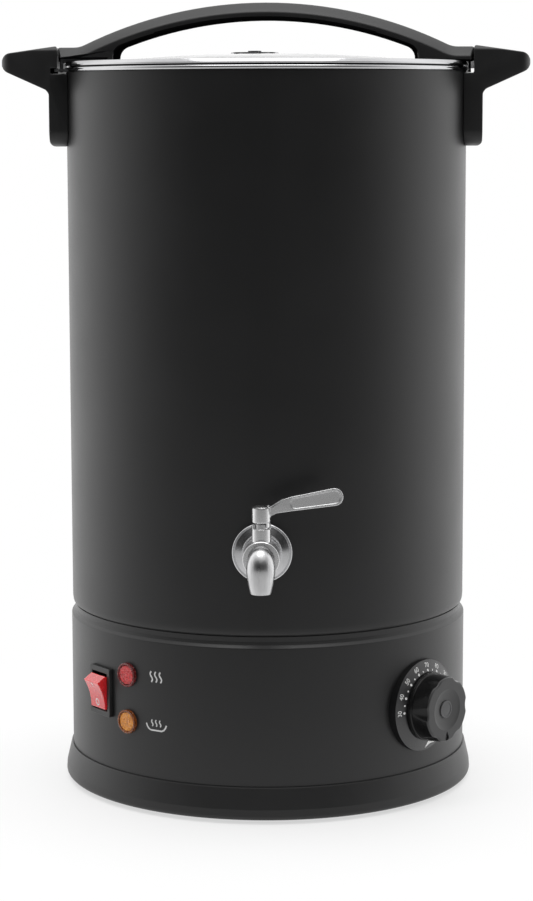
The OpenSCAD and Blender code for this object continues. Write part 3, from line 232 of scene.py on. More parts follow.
def cut(bm, cutters):
    """Subtracts closed meshes from a mesh, all in millimetres."""
    bmesh.ops.recalc_face_normals(bm, faces=bm.faces)
    blank = object_from(bm, "blank")
    tools = []
    for k, tool in enumerate(cutters):
        bmesh.ops.recalc_face_normals(tool, faces=tool.faces)
        mod = blank.modifiers.new(f"cut{k}", "BOOLEAN")
        mod.operation = "DIFFERENCE"
        mod.solver = "EXACT"
        mod.object = object_from(tool, f"tool{k}")
        tools.append(mod.object)
    depsgraph = bpy.context.evaluated_depsgraph_get()
    result = bmesh.new()
    result.from_mesh(blank.evaluated_get(depsgraph).to_mesh())
    blank.evaluated_get(depsgraph).to_mesh_clear()
    for obj in tools + [blank]:
        data = obj.data
        bpy.data.objects.remove(obj)
        bpy.data.meshes.remove(data)
    return result


def drill(azimuth, z, r, x=0.0):
    """A round cutter through the wall."""
    bm = slab(circle_points(r, cx=x), CUT_IN, CUT_OUT)
    bm.transform(on_wall(azimuth, 0, z))
    return bm


def wall_core(place, z):
    """The base as a solid cylinder, seen from a piece that is placed on its wall. It shapes the
    piece's back, which then clears the wall by the gap."""
    gap, half = 0.02, 60
    r = BASE_R + gap
    bm = lathe([(0, -half), (r, -half), (r, half), (0, half)], 512)
    bm.transform(place.inverted() @ Matrix.Translation((0, 0, z)))
    return bm


def softened(node, width):
    """A copy of a CAD node's mesh, in millimetres, with its sharp edges rounded."""
    merge, flat_angle, sharp_angle = 0.002, 0.6, 28
    bm = bmesh.new()
    bm.from_mesh(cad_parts[node].data)
    bm.transform(Matrix.Scale(1 / MM, 4))
    bmesh.ops.remove_doubles(bm, verts=bm.verts, dist=merge)
    bmesh.ops.dissolve_limit(bm, angle_limit=math.radians(flat_angle), verts=bm.verts,
                             edges=bm.edges)
    bm.normal_update()
    sharp = [e for e in bm.edges
             if len(e.link_faces) == 2 and e.calc_face_angle(0) > math.radians(sharp_angle)]
    bmesh.ops.bevel(bm, geom=sharp, offset=width, offset_type="OFFSET", segments=3,
                    profile=0.5, affect="EDGES", clamp_overlap=False)
    return bm


def joined(parts):
    """One mesh from several."""
    whole = bmesh.new()
    for part in parts:
        mesh = bpy.data.meshes.new("part")
        part.to_mesh(mesh)
        part.free()
        whole.from_mesh(mesh)
        bpy.data.meshes.remove(mesh)
    return whole


# ---- Materials ----

# The sum of two noises where a finish is darkest and smoothest, and where it is the opposite
NOISE_SPAN = (0.6, 1.4)


def node_of(tree, kind, inputs=None, **settings):
    """A new shader node, with its settings and the constants on its sockets."""
    n = tree.nodes.new(kind)
    for key, value in settings.items():
        setattr(n, key, value)
    for key, value in (inputs or {}).items():
        n.inputs[key].default_value = value
    return n


def math_of(tree, operation, first, second):
    n = node_of(tree, "ShaderNodeMath", operation=operation)
    tree.links.new(first, n.inputs[0])
    tree.links.new(second, n.inputs[1])
    return n.outputs[0]


def map_range(tree, value, span, target=(0.0, 1.0), kind="LINEAR"):
    """Maps a value from one span to another, and holds it at the target's ends."""
    n = node_of(tree, "ShaderNodeMapRange", interpolation_type=kind, inputs={
        "From Min": span[0], "From Max": span[1], "To Min": target[0], "To Max": target[1]})
    tree.links.new(value, n.inputs["Value"])
    return n.outputs["Result"]


def coordinate(tree, vector, axis):
    """A coordinate that runs along an axis ("X", "Y", "Z"), or outwards from the axis Z ("R")."""
    split = node_of(tree, "ShaderNodeSeparateXYZ")
    tree.links.new(vector, split.inputs[0])
    if axis in ("X", "Y", "Z"):
        return split.outputs[axis]
    flat = node_of(tree, "ShaderNodeCombineXYZ")
    tree.links.new(split.outputs["X"], flat.inputs[0])
    tree.links.new(split.outputs["Y"], flat.inputs[1])
    length = node_of(tree, "ShaderNodeVectorMath", operation="LENGTH")
    tree.links.new(flat.outputs[0], length.inputs[0])
    return length.outputs["Value"]


def raise_bump(tree, height, strength, depth):
    """Gives the shader's normal a relief of the given depth in millimetres."""
    relief = node_of(tree, "ShaderNodeBump", {"Strength": strength, "Distance": depth * MM})
    tree.links.new(height, relief.inputs["Height"])
    tree.links.new(relief.outputs["Normal"], tree.nodes["Principled BSDF"].inputs["Normal"])


def surface(name, colour, roughness, metallic=0.0, grain=1.0, bump=0.0, bump_depth=0.1,
            shift=0.25, rough_shift=0.06, patch=60.0, stretch=(1, 1, 1), rings=None, **sockets):
    """A procedural finish. grain is the size of its texture and patch that of its clouds, in
    millimetres, and stretch scales the texture's frequency on each axis. bump and bump_depth are
    the relief's strength and depth, shift and rough_shift say how far colour and roughness
    wander, and rings holds the axis, pitch and weight of turned or brushed lines. The other names
    are sockets of the shader."""
    mat = bpy.data.materials.new(name)
    mat.use_nodes = True
    tree = mat.node_tree
    bsdf = tree.nodes["Principled BSDF"]
    bsdf.inputs["Metallic"].default_value = metallic
    for key, value in sockets.items():
        bsdf.inputs[key.replace("_", " ")].default_value = value
    where = node_of(tree, "ShaderNodeTexCoord").outputs["Object"]
    mapping = node_of(tree, "ShaderNodeMapping", {"Scale": stretch})
    tree.links.new(where, mapping.inputs["Vector"])
    clouds = node_of(tree, "ShaderNodeTexNoise", {"Scale": PER_METRE / patch, "Detail": 3.0})
    tree.links.new(where, clouds.inputs["Vector"])
    fine = node_of(tree, "ShaderNodeTexNoise", {
        "Scale": PER_METRE / grain, "Detail": 4.0, "Roughness": 0.6})
    tree.links.new(mapping.outputs["Vector"], fine.inputs["Vector"])
    both = math_of(tree, "ADD", clouds.outputs["Fac"], fine.outputs["Fac"])

    mix = node_of(tree, "ShaderNodeMix", data_type="RGBA")
    mix.inputs[6].default_value = (*[c * (1 - shift) for c in colour], 1)
    mix.inputs[7].default_value = (*[min(1.0, c * (1 + shift)) for c in colour], 1)
    tree.links.new(map_range(tree, both, NOISE_SPAN), mix.inputs[0])
    tree.links.new(mix.outputs[2], bsdf.inputs["Base Color"])
    rough = (max(0.02, roughness - rough_shift), min(1.0, roughness + rough_shift))
    tree.links.new(map_range(tree, both, NOISE_SPAN, rough), bsdf.inputs["Roughness"])

    height = fine.outputs["Fac"]
    if rings:
        axis, pitch, weight = rings
        lines = node_of(tree, "ShaderNodeTexNoise", {"Scale": PER_METRE / pitch, "Detail": 2.0},
                        noise_dimensions="1D")
        tree.links.new(coordinate(tree, where, axis), lines.inputs["W"])
        add = node_of(tree, "ShaderNodeMath", operation="MULTIPLY_ADD")
        tree.links.new(lines.outputs["Fac"], add.inputs[0])
        add.inputs[1].default_value = weight
        tree.links.new(height, add.inputs[2])
        height = add.outputs[0]
    if bump > 0:
        raise_bump(tree, height, bump, bump_depth)
    return mat


COAT = surface("black_powder_coat", (0.0085, 0.0085, 0.0088), 0.42, grain=0.9, bump=0.10,
               bump_depth=0.06, shift=0.22, rough_shift=0.04, patch=45)
BAKELITE = surface("black_bakelite", (0.0105, 0.0105, 0.0108), 0.42, grain=0.7, bump=0.12,
                   bump_depth=0.05, shift=0.25, rough_shift=0.05, patch=25)
# A darker, dull copy of the bakelite: painted shade for the lid bridge's underside and the ends of
# its arch
BAKELITE_SHADE = surface("black_bakelite_painted_shade", (0.006, 0.006, 0.0062), 0.75, grain=0.7,
                       bump=0.12, bump_depth=0.05, shift=0.25, rough_shift=0.05, patch=25,
                       Specular_IOR_Level=0.0)
PANEL = surface("black_panel_plastic", (0.014, 0.014, 0.0145), 0.40, grain=0.6, bump=0.10,
                bump_depth=0.04, shift=0.2, rough_shift=0.05, patch=12)
GLOSS = surface("black_gloss_plastic", (0.005, 0.005, 0.0052), 0.22, grain=2.5, bump=0.03,
                bump_depth=0.03, shift=0.2, rough_shift=0.04, patch=9, Specular_IOR_Level=0.22,
                Coat_Weight=0.12, Coat_Roughness=0.10)
# A darker, duller copy of the dial's plastic: painted shade for the dial's side wall
DIAL_SHADE = surface("black_dial_painted_shade", (0.006, 0.006, 0.0063), 0.45, grain=0.6, bump=0.06,
                    bump_depth=0.03, shift=0.15, rough_shift=0.04, patch=12,
                    Specular_IOR_Level=0.2)
DIAL_BLACK = surface("black_dial", (0.026, 0.026, 0.027), 0.24, grain=0.6, bump=0.06,
                     bump_depth=0.03, shift=0.15, rough_shift=0.04, patch=12,
                     Specular_IOR_Level=0.6)
KNOB_FACE = surface("black_knob_face", (0.028, 0.028, 0.0285), 0.40, grain=0.5, bump=0.1,
                    bump_depth=0.03, shift=0.2, rough_shift=0.05, patch=8)
CAP_GREY = surface("grey_cap", (0.055, 0.055, 0.057), 0.36, grain=0.5, bump=0.08,
                   bump_depth=0.03, patch=5)
POLISHED = surface("polished_steel", (0.56, 0.56, 0.57), 0.13, 1.0, grain=4.0, bump=0.02,
                   bump_depth=0.02, shift=0.05, rough_shift=0.05, patch=35,
                   rings=("R", 0.45, 0.25), Specular_Tint=(0.5, 0.5, 0.5, 1))
POT_STEEL = surface("pot_steel", (0.72, 0.72, 0.73), 0.36, 1.0, grain=3.0, bump=0.04,
                    bump_depth=0.02, shift=0.04, rough_shift=0.04, patch=50,
                    rings=("Z", 0.5, 0.8))
TAP_STEEL = surface("tap_steel", (0.70, 0.70, 0.705), 0.27, 1.0, grain=0.8, bump=0.05,
                    bump_depth=0.02, shift=0.08, rough_shift=0.06, patch=7)
SPOUT_STEEL = surface("spout_steel", (0.62, 0.62, 0.625), 0.31, 1.0, grain=2.4, bump=0.8,
                      bump_depth=0.30, shift=0.16, rough_shift=0.06, patch=7,
                      stretch=(1, 1, 0.07))
# A darkened copy of the zinc steel: painted shade for the lock plates in their gap
ZINC_SHADE = surface("zinc_steel_painted_shade", (0.16, 0.16, 0.165), 0.42, 1.0, grain=1.2, bump=0.08,
                    bump_depth=0.03, shift=0.12, rough_shift=0.08, patch=10)
TURNED = surface("turned_steel", (0.64, 0.64, 0.65), 0.22, 1.0, grain=1.5, bump=0.05,
                 bump_depth=0.02, shift=0.06, rough_shift=0.06, patch=9, rings=("Z", 0.3, 0.8))
ZINC = surface("zinc_steel", (0.56, 0.57, 0.60), 0.34, 1.0, grain=1.2, bump=0.08,
               bump_depth=0.03, shift=0.12, rough_shift=0.1, patch=10)
ALUMINIUM = surface("cast_aluminium", (0.55, 0.555, 0.56), 0.48, 1.0, grain=0.8, bump=0.35,
                    bump_depth=0.1, shift=0.12, patch=14)
SHEATH = surface("element_sheath", (0.10, 0.085, 0.075), 0.5, 0.8, grain=1.0, bump=0.2,
                 shift=0.35, patch=12)
COPPER = surface("copper", (0.62, 0.30, 0.17), 0.27, 1.0, grain=1.0, bump=0.08, shift=0.2,
                 rough_shift=0.1, patch=8)
BRASS = surface("brass_terminals", (0.62, 0.47, 0.20), 0.26, 1.0, grain=0.8, bump=0.08,
                shift=0.12, rough_shift=0.08, patch=4)
RUBBER = surface("black_rubber", (0.013, 0.013, 0.013), 0.78, grain=0.5, bump=0.3,
                 bump_depth=0.06, shift=0.3, patch=6)
SEAL = surface("dark_silicone", (0.018, 0.018, 0.019), 0.55, grain=0.9, bump=0.12,
               bump_depth=0.04, shift=0.25, patch=15)
SILICONE = surface("silicone", (0.62, 0.61, 0.58), 0.45, grain=1.1, bump=0.1, shift=0.08,
                   patch=8, Subsurface_Weight=0.3)
PTFE = surface("sealing_plastic", (0.78, 0.78, 0.74), 0.38, grain=0.9, bump=0.08, shift=0.05,
               patch=6)
FIBRE = surface("glass_fibre", (0.55, 0.50, 0.36), 0.9, grain=1.6, bump=0.9, bump_depth=0.8,
                shift=0.25, patch=12, stretch=(1, 1, 5))
CERAMIC = surface("ceramic", (0.74, 0.71, 0.63), 0.2, grain=1.5, bump=0.06, shift=0.08,
                  patch=6, Coat_Weight=0.5)
RED = surface("red_rocker_plastic", (0.66, 0.016, 0.022), 0.26, grain=1.4, bump=0.05,
              bump_depth=0.03, shift=0.12, rough_shift=0.05, patch=4, Subsurface_Weight=0.55,
              Subsurface_Scale=0.004, Coat_Weight=0.6, Coat_Roughness=0.22, Coat_IOR=1.6)
PRINT = surface("white_print", (0.80, 0.80, 0.79), 0.5, grain=0.3, bump=0.15, bump_depth=0.02,
                shift=0.06, patch=3)
LABEL = surface("grey_print", (0.60, 0.60, 0.60), 0.5, grain=0.3, bump=0.15, bump_depth=0.02,
                shift=0.08, patch=3)


def lens_material(name, colour):
    """Clear coloured plastic, with the facets of its back as a relief."""
    mat = surface(name, colour, 0.12, grain=0.8, shift=0.45, rough_shift=0.05, patch=1.8,
                  Transmission_Weight=0.15, IOR=1.49, Coat_Weight=0.2, Coat_Roughness=0.10)
    tree = mat.node_tree
    facet_size = 1.1
    facets = node_of(tree, "ShaderNodeTexVoronoi", {"Scale": PER_METRE / facet_size})
    tree.links.new(tree.nodes["Texture Coordinate"].outputs["Object"], facets.inputs["Vector"])
    raise_bump(tree, facets.outputs["Distance"], 1.0, 0.5)
    return mat


# The lens colours; each has a darker copy that paints shade on the lamp's rim and side
RED_LENS = lens_material("red_lens", (0.60, 0.030, 0.034))
RED_LENS_SHADE = lens_material("red_lens_painted_shade", (0.15, 0.010, 0.010))
AMBER_LENS = lens_material("amber_lens", (0.90, 0.27, 0.025))
AMBER_LENS_SHADE = lens_material("amber_lens_painted_shade", (0.22, 0.055, 0.006))


# ---- Housing ----

# The outer wall's lower edge turns in
TURN_IN = 0.8
TURN_H = 4.2
# The base wall: its lower end, two loops that divide the tall face, and the shoulder on top
Z_LEDGE = 11.7
BASE_LOOPS = (40, 70)
SHOULDER_H = 2.0
# The neck between the two walls, and the collar above it
NECK_IN = 0.4
NECK_GROOVE = 0.7
COLLAR_LAP = 9.0


def build_housing():
    inner = SHELL_R - SHELL_T
    outline = arc(SHELL_R - TURN_IN, Z_WALL + TURN_H, TURN_IN, TURN_H, -90, 0, 12)
    outline += soft_outline([
        (SHELL_R, Z_WALL + TURN_H + 4), (SHELL_R, Z_RIM, 0.35), (inner, Z_RIM, 0.3),
        (inner, Z_WALL)], closed=False)
    holes = [drill(0, Z_TAP, TAP_HOLE_R)]
    holes += [drill(azimuth, z, BOLT_HOLE_R) for azimuth in BOLT_AZS for z in BOLT_ZS]
    add_piece("housing_wall", cut(lathe(outline, ROUND), holes), COAT, "housing",
              ["outer_shell"])

    collar_in = COLLAR_R - SHELL_T
    groove_r = COLLAR_R - NECK_GROOVE
    outline = soft_outline([
        (BASE_R, Z_LEDGE), *[(BASE_R, z) for z in BASE_LOOPS],
        (BASE_R, Z_SEAM - SHOULDER_H, 0.9), (COLLAR_R + 0.25, Z_SEAM - 0.5, 0.6),
        (COLLAR_R - NECK_IN, Z_SEAM + 1.1, 0.5), (COLLAR_R - 0.1, Z_WALL - 1.0, 0.2),
        (groove_r, Z_WALL - 0.7), (groove_r, Z_WALL + 0.4), (COLLAR_R, Z_WALL + 1),
        (COLLAR_R, Z_WALL + COLLAR_LAP), (collar_in, Z_WALL + COLLAR_LAP)], closed=False)
    outline += arc(collar_in, Z_SEAM - SHOULDER_H - 0.5, BASE_R - COLLAR_R, SHOULDER_H, 90, 0)
    outline += [(BASE_R - SHELL_T, z) for z in (*reversed(BASE_LOOPS), Z_LEDGE)]
    holes = [drill(DIAL_AZ, Z_DIAL, SHAFT_HOLE_R)]
    holes += [drill(DIAL_AZ, Z_DIAL, SCREW_HOLE_R, x) for x in SCREW_XS]
    holes += [drill(LAMP_AZ, z, LAMP_HOLE_R) for z in LAMP_ZS.values()]
    holes += [drill(INLET_AZ, Z_INLET, INLET_SCREW_R, x) for x in INLET_SCREW_XS]
    for azimuth, z, size in ((SWITCH_AZ, Z_SWITCH, SWITCH_WINDOW),
                             (INLET_AZ, Z_INLET, INLET_WINDOW)):
        window = slab(rectangle(*size), -WINDOW_REACH, WINDOW_REACH)
        window.transform(on_wall(azimuth, BASE_R, z))
        holes.append(window)
    add_piece("base_wall", cut(lathe(outline, ROUND), holes), COAT, "housing",
              ["base_shell"])


# ---- Pot and lid ----

POT_R = 106.0
POT_T = 0.8
POT_CORNER_R = 8
Z_FLOOR = 127.5
# A loop that divides the pot's flat floor
FLOOR_LOOP_R = 60
# The rolled rim: its own radius, and the radius of the ring it makes
BEAD_R = 1.3
BEAD_RING = 111.7

LID_T = 0.8
LID_EDGE = 406.7
HEM_LOW = 404.2
HEM_R = 112.8
HEM_T = 1.6
HEM_LEAN = 1.3
DOME_R = 89.0
DOME_RISE = 4.5
DOME_STEPS = 30
LID_BOLT_XS = (-96, 96)
LID_BOLT_YS = (-12, 12)
LID_BOLT_R = 2.2

# The round plate and its button over the steam hole
STEAM_HOLE_R = 1.5
VENT_X = -6.5
VENT_R = 13.4
VENT_RISE = 0.7
VENT_SINK = 0.12
VENT_CAP_R = 4.3
VENT_CAP_H = 0.9


def dome_height(r, level):
    return level + DOME_RISE * (1 - (r / DOME_R) ** 2)


def build_lid():
    radii = [DOME_R * i / DOME_STEPS for i in range(DOME_STEPS + 1)]
    under = LID_EDGE - LID_T
    flat_r = DOME_R + 4
    hem_in = HEM_R - HEM_T
    outline = [(r, dome_height(r, LID_EDGE)) for r in radii]
    outline += soft_outline([
        (flat_r, LID_EDGE), (HEM_R - HEM_LEAN, LID_EDGE, 0.7), (HEM_R, HEM_LOW + 0.6, 0.5),
        (HEM_R - 0.3, HEM_LOW, 0.2), (hem_in, HEM_LOW, 0.4), (hem_in, under, 0.4),
        (flat_r, under)], closed=False)
    outline += [(r, dome_height(r, under)) for r in reversed(radii)]
    spots = [(x, y, LID_BOLT_R) for x in LID_BOLT_XS for y in LID_BOLT_YS]
    spots.append((VENT_X, 0, STEAM_HOLE_R))
    holes = [slab(circle_points(r, cx=x, cy=y), LID_EDGE - 3, LID_EDGE + 9) for x, y, r in spots]
    add_piece("lid_sheet", cut(lathe(outline, ROUND), holes), POLISHED, "lid",
              ["lid_pan"])

    disc_top = LID_EDGE + DOME_RISE + VENT_RISE
    disc = lathe(soft_outline([
        (STEAM_HOLE_R, dome_height(STEAM_HOLE_R, LID_EDGE) - VENT_SINK),
        (VENT_R, dome_height(VENT_R, LID_EDGE) - VENT_SINK),
        (VENT_R, disc_top, 0.35), (STEAM_HOLE_R, disc_top, 0.2)]), 96)
    add_piece("vent_plate", disc, POLISHED, "lid", ["vent_disc"],
              Matrix.Translation((VENT_X, 0, 0)))
    cap = lathe(soft_outline([
        (0, 0), (VENT_CAP_R, 0, 0.1), (VENT_CAP_R, VENT_CAP_H, 0.45), (1.2, VENT_CAP_H, 0.3),
        (0, VENT_CAP_H - 0.15)], closed=False), 64)
    add_piece("vent_button", cap, TURNED, "lid", ["vent_cap"],
              Matrix.Translation((VENT_X, 0, disc_top)))


def build_pot():
    under = Z_FLOOR - POT_T
    corner = (POT_R - POT_CORNER_R, under + POT_CORNER_R)
    inner_corner_r = POT_CORNER_R - POT_T
    inner = POT_R - POT_T
    flange_top = Z_RIM + POT_T
    outline = [(0, under), (FLOOR_LOOP_R, under)]
    outline += arc(*corner, POT_CORNER_R, POT_CORNER_R, -90, 0, 10)
    outline += [(POT_R, Z_RIM - 2), (POT_R, Z_RIM), (BEAD_RING - 1, Z_RIM)]
    outline += arc(BEAD_RING, Z_RIM + BEAD_R, BEAD_R, BEAD_R, -90, 198, 24)
    outline += [(BEAD_RING - BEAD_R, flange_top), (inner + 0.5, flange_top),
                (inner, flange_top - 0.5), (inner, Z_RIM - 3)]
    outline += arc(*corner, inner_corner_r, inner_corner_r, 0, -90, 10)
    outline += [(FLOOR_LOOP_R, Z_FLOOR), (0, Z_FLOOR)]
    pot = cut(lathe(outline, ROUND), [drill(0, Z_TAP, TAP_HOLE_R)])
    for f in pot.faces:
        f.material_index = 1 if f.calc_center_median().z > Z_RIM - 1 else 0
    add_piece("pot", pot, [POT_STEEL, POLISHED], "housing", ["inner_pot"])


# ---- Knob and dial ----

KNOB_R = 18.9
KNOB_H = 13.8
KNOB_GAP = 1.2
KNOB_STEPS = 240
SKIRT_H = 3.2
SKIRT_T = 2.2
# The grip above the skirt, with its scallops
GRIP_R = KNOB_R - 0.5
GRIP_LOW = SKIRT_H + 0.8
DRAFT = 0.6
FACE_R = GRIP_R - DRAFT
LOBES = 6
SCALLOP_R = 9.0
SCALLOP_D = 1.8
SCALLOP_BLEND = 0.3
# The dished face, its cap and the drop-shaped pointer cut into it
DISH_R = 10.8
DISH_D = 1.2
DISH_DROP = 0.3
BADGE_R = 4.9
BADGE_T = 1.5
CAP_FLOOR = KNOB_H - DISH_DROP - DISH_D - 0.6
POINTER_R = 1.6
POINTER_DEPTH = 0.8
# The underside: a hub with the shaft's bore, in a hollow
BORE_R = 3.05
BORE_END = KNOB_H - 4.5
HUB_R = 6.5
HOLLOW_H = 7.0


def grip_side(z):
    """The grip's radius between the scallops, which narrows towards the face."""
    return GRIP_R - DRAFT * clamp((z - GRIP_LOW) / (KNOB_H - 1 - GRIP_LOW))


def scallop_loss(angle, z):
    """How much a scallop takes off the grip; the cut deepens towards the face."""
    share = clamp((z - GRIP_LOW) / (KNOB_H - GRIP_LOW))
    r = SCALLOP_R - SCALLOP_D * (1 - share)
    centre = GRIP_R + SCALLOP_R - SCALLOP_D
    pitch = 2 * math.pi / LOBES
    a = (angle + math.pi / 2) % pitch - pitch / 2
    inside = r * r - (centre * math.sin(a)) ** 2
    if inside <= 0:
        return 0.0
    loss = grip_side(z) - (centre * math.cos(a) - math.sqrt(inside))
    blend = max(0.0, SCALLOP_BLEND - abs(loss)) / SCALLOP_BLEND
    return max(loss, 0.0) + blend * blend * SCALLOP_BLEND / 4 * min(1.0, 6 * share)


def knob_mesh():
    """The knob from its bore, out over the skirt and the scalloped grip, and in to its cap."""
    under = [(0, BORE_END), (BORE_R, BORE_END), (BORE_R, KNOB_GAP + 0.2),
             (BORE_R + 0.2, KNOB_GAP), (HUB_R - 0.2, KNOB_GAP), (HUB_R, KNOB_GAP + 0.2),
             (HUB_R, HOLLOW_H)]
    skirt = soft_outline([
        (KNOB_R - SKIRT_T, HOLLOW_H), (KNOB_R - SKIRT_T, KNOB_GAP, 0.2), (KNOB_R, KNOB_GAP, 0.45),
        (KNOB_R, SKIRT_H, 0.6), (GRIP_R, SKIRT_H + 0.4)], closed=False, steps=6)
    heights = [SKIRT_H + 0.4 + 0.3 * i for i in range(3)]
    heights += [GRIP_LOW + (KNOB_H - 3.2 - GRIP_LOW) * i / 9 for i in range(1, 10)]
    scalloped = [(grip_side(z), z) for z in heights] + soft_outline([
        (GRIP_R - DRAFT * 0.8, KNOB_H - 3), (FACE_R, KNOB_H, 1.3), (DISH_R + 0.7, KNOB_H, 0.5),
        (DISH_R - 0.5, KNOB_H - DISH_DROP - 0.1)], closed=False, steps=8, support=0.3)
    dish = [(r, KNOB_H - DISH_DROP - DISH_D * (1 - (r / DISH_R) ** 2))
            for r in (9.6, 8.8, 8, 7.2, 6.4, 5.7, BADGE_R + 0.3, BADGE_R + 0.05)]
    floor = [(BADGE_R + 0.05, CAP_FLOOR), (0, CAP_FLOOR)]

    bm = bmesh.new()
    angles = [2 * math.pi * k / KNOB_STEPS for k in range(KNOB_STEPS)]
    rows = [ring(bm, [r] * KNOB_STEPS, z) for r, z in under + skirt[:-1]]
    for r, z in scalloped:
        # The scallops run out over the face's flat rim
        share = clamp((r - DISH_R - 0.9) / (FACE_R - DISH_R - 0.9))
        rows.append(ring(bm, [r - scallop_loss(a, z) * share for a in angles], z))
    rows += [ring(bm, [r] * KNOB_STEPS, z) for r, z in dish + floor]
    skin(bm, rows)
    return bm


def build_knob():
    end = KNOB_R - 3.2
    tip = DISH_R + 1.2
    drop = arc(0, -end, POINTER_R, POINTER_R, -195, 15, 14)
    drop += [(0.8, -tip - 1.7), (0.3, -tip - 0.6), (0, -tip), (-0.3, -tip - 0.6),
             (-0.8, -tip - 1.7)]
    bm = cut(knob_mesh(), [slab(drop, KNOB_H - POINTER_DEPTH, KNOB_H + 3)])
    for f in bm.faces:
        c = f.calc_center_median()
        face_low = KNOB_H - 1.7 if c.xy.length < DISH_R + 1 else KNOB_H - 0.75
        f.material_index = 1 if c.z > face_low else 0
    place = on_wall(DIAL_AZ, BASE_R + DIAL_TOP, Z_DIAL)
    add_piece("knob_grip", bm, [GLOSS, KNOB_FACE], "thermostat_knob",
              ["knob"], place, smooth=40)

    top = CAP_FLOOR + BADGE_T
    cap = lathe(soft_outline([
        (0, CAP_FLOOR), (BADGE_R, CAP_FLOOR), (BADGE_R, top, 0.3), (BADGE_R - 0.9, top, 0.2),
        (BADGE_R - 1.1, top - 0.25, 0.2), (0, top - 0.2)], closed=False), 64)
    add_piece("knob_badge", cap, CAP_GREY, "thermostat_knob", ["knob_cap"], place)


def text_mesh(words, size):
    """Printed figures of a given size, centred, standing on local z = 0."""
    curve = bpy.data.curves.new("figures", "FONT")
    curve.body = words
    curve.size = size
    curve.align_x = "CENTER"
    curve.align_y = "CENTER"
    curve.extrude = PRINT_T / 2
    curve.resolution_u = 4
    obj = bpy.data.objects.new("figures", curve)
    bpy.context.scene.collection.objects.link(obj)
    depsgraph = bpy.context.evaluated_depsgraph_get()
    mesh = bpy.data.meshes.new_from_object(obj.evaluated_get(depsgraph))
    bm = bmesh.new()
    bm.from_mesh(mesh)
    bpy.data.objects.remove(obj)
    bpy.data.curves.remove(curve)
    bpy.data.meshes.remove(mesh)
    bm.transform(Matrix.Translation((0, 0, PRINT_T / 2)))
    return bm


DIAL_R = 25.4
DIAL_T = 1.4
DIAL_SUNK = 4.5
DIAL_PROUD = 2.0
DIAL_TOP = 4.0
# The scale: a dot for every 5 degrees from the first value on, and figures at every second dot.
# It starts at an angle from the right and goes on clockwise.
DIAL_FIRST = 30
DIAL_MARKS = 17
DIAL_START = 182
DIAL_PITCH = 11.75
# Dots without and with figures, and the heights of numbers of two and of three figures
DOT_RING = 19.85
DOT_R = (0.5, 0.72)
FIGURE_RING = 22.55
FIGURE_H = (3.5, 2.9)
# The wedge-shaped mark at the bottom
DIAL_WEDGE = ((0.0, -23.9), (1.6, -20.2), (4.9, -21.2), (8.4, -21.7))


def dial_height(r):
    """The dial is flat under the knob and slopes down to its rim."""
    rim = DIAL_R - 0.5
    return DIAL_TOP - (DIAL_TOP - DIAL_PROUD) * clamp((r - KNOB_R) / (rim - KNOB_R))


def build_dial():
    inner = DIAL_R - DIAL_T
    plate = lathe(soft_outline([
        (SHAFT_HOLE_R, DIAL_PROUD - DIAL_T), (inner, DIAL_PROUD - DIAL_T), (inner, -DIAL_SUNK),
        (DIAL_R, -DIAL_SUNK), (DIAL_R, DIAL_PROUD - 0.1, 0.5), (DIAL_R - 0.5, DIAL_PROUD, 0.3),
        (KNOB_R, DIAL_TOP, 0.3), (SHAFT_HOLE_R, DIAL_TOP, 0.15)]), 128)
    place = on_wall(DIAL_AZ, BASE_R, Z_DIAL)
    screws = [slab(circle_points(SCREW_HOLE_R, cx=x), -6, 8) for x in SCREW_XS]
    plate = cut(plate, [wall_core(place, Z_DIAL)] + screws)
    # Faces that look out keep the dial's plastic; the side wall and the other faces take its darker
    # copy, which is painted shade
    for f in plate.faces:
        f.material_index = 1 if f.normal.z > 0.7 else 0
    add_piece("dial_face", plate, [DIAL_SHADE, DIAL_BLACK], "housing",
              ["dial_plate"], place)

    marks = []
    for i in range(DIAL_MARKS):
        value = DIAL_FIRST + 5 * i
        a = math.radians(DIAL_START - DIAL_PITCH * i)
        big = value % 10 == 0
        marks.append(slab(circle_points(DOT_R[big], 16, DOT_RING * math.cos(a),
                                        DOT_RING * math.sin(a)), 0, PRINT_T))
        if big:
            figures = text_mesh(str(value), FIGURE_H[value >= 100])
            spot = Matrix.Translation((FIGURE_RING * math.cos(a), FIGURE_RING * math.sin(a), 0))
            figures.transform(spot @ Matrix.Rotation(a - math.pi / 2, 4, "Z"))
            marks.append(figures)
    marks.append(slab(DIAL_WEDGE, 0, PRINT_T))
    marks = joined(marks)
    for v in marks.verts:
        v.co.z += dial_height(v.co.xy.length) + PRINT_LIFT
    add_piece("dial_marks", marks, PRINT, "housing", (), place)


# ---- Switch, lamps and wall marks ----

def ribbon(points, width):
    """A flat line of even width through the given points, as one closed outline."""
    left, right = [], []
    for i, p in enumerate(points):
        a = Vector(points[max(0, i - 1)])
        b = Vector(points[min(len(points) - 1, i + 1)])
        side = (b - a).normalized().orthogonal() * width / 2
        left.append(Vector(p) + side)
        right.append(Vector(p) - side)
    return left + right[::-1]


def wave(x, y, height, swing, count=14):
    return [(x + swing * math.sin(2 * math.pi * i / count), y + height * i / count)
            for i in range(count + 1)]


# The signs beside the lamps: three heat waves, and three over a bowl
SIGN_AZ = -31.1
SIGN_LINE = 0.85
Z_HEAT_SIGN = 76.2
Z_WARM_SIGN = 49.2
BOWL = ((-6.6, 0.9), (-6.0, -0.6), (-5.0, -1.9), (-3.6, -2.6),
        (3.6, -2.6), (5.0, -1.9), (6.0, -0.6), (6.6, 0.9))


def add_sign(name, z, lines):
    """Prints lines of (points, width) on the base wall, wrapped round it."""
    bm = joined([slab(ribbon(points, width), 0, PRINT_T) for points, width in lines])
    bmesh.ops.triangulate(bm, faces=bm.faces)
    for v in bm.verts:
        a = math.radians(SIGN_AZ) + v.co.x / BASE_R
        r = BASE_R + 0.03 + v.co.z
        v.co = (r * math.sin(a), -r * math.cos(a), z + v.co.y)
    add_piece(name, bm, LABEL, "housing")


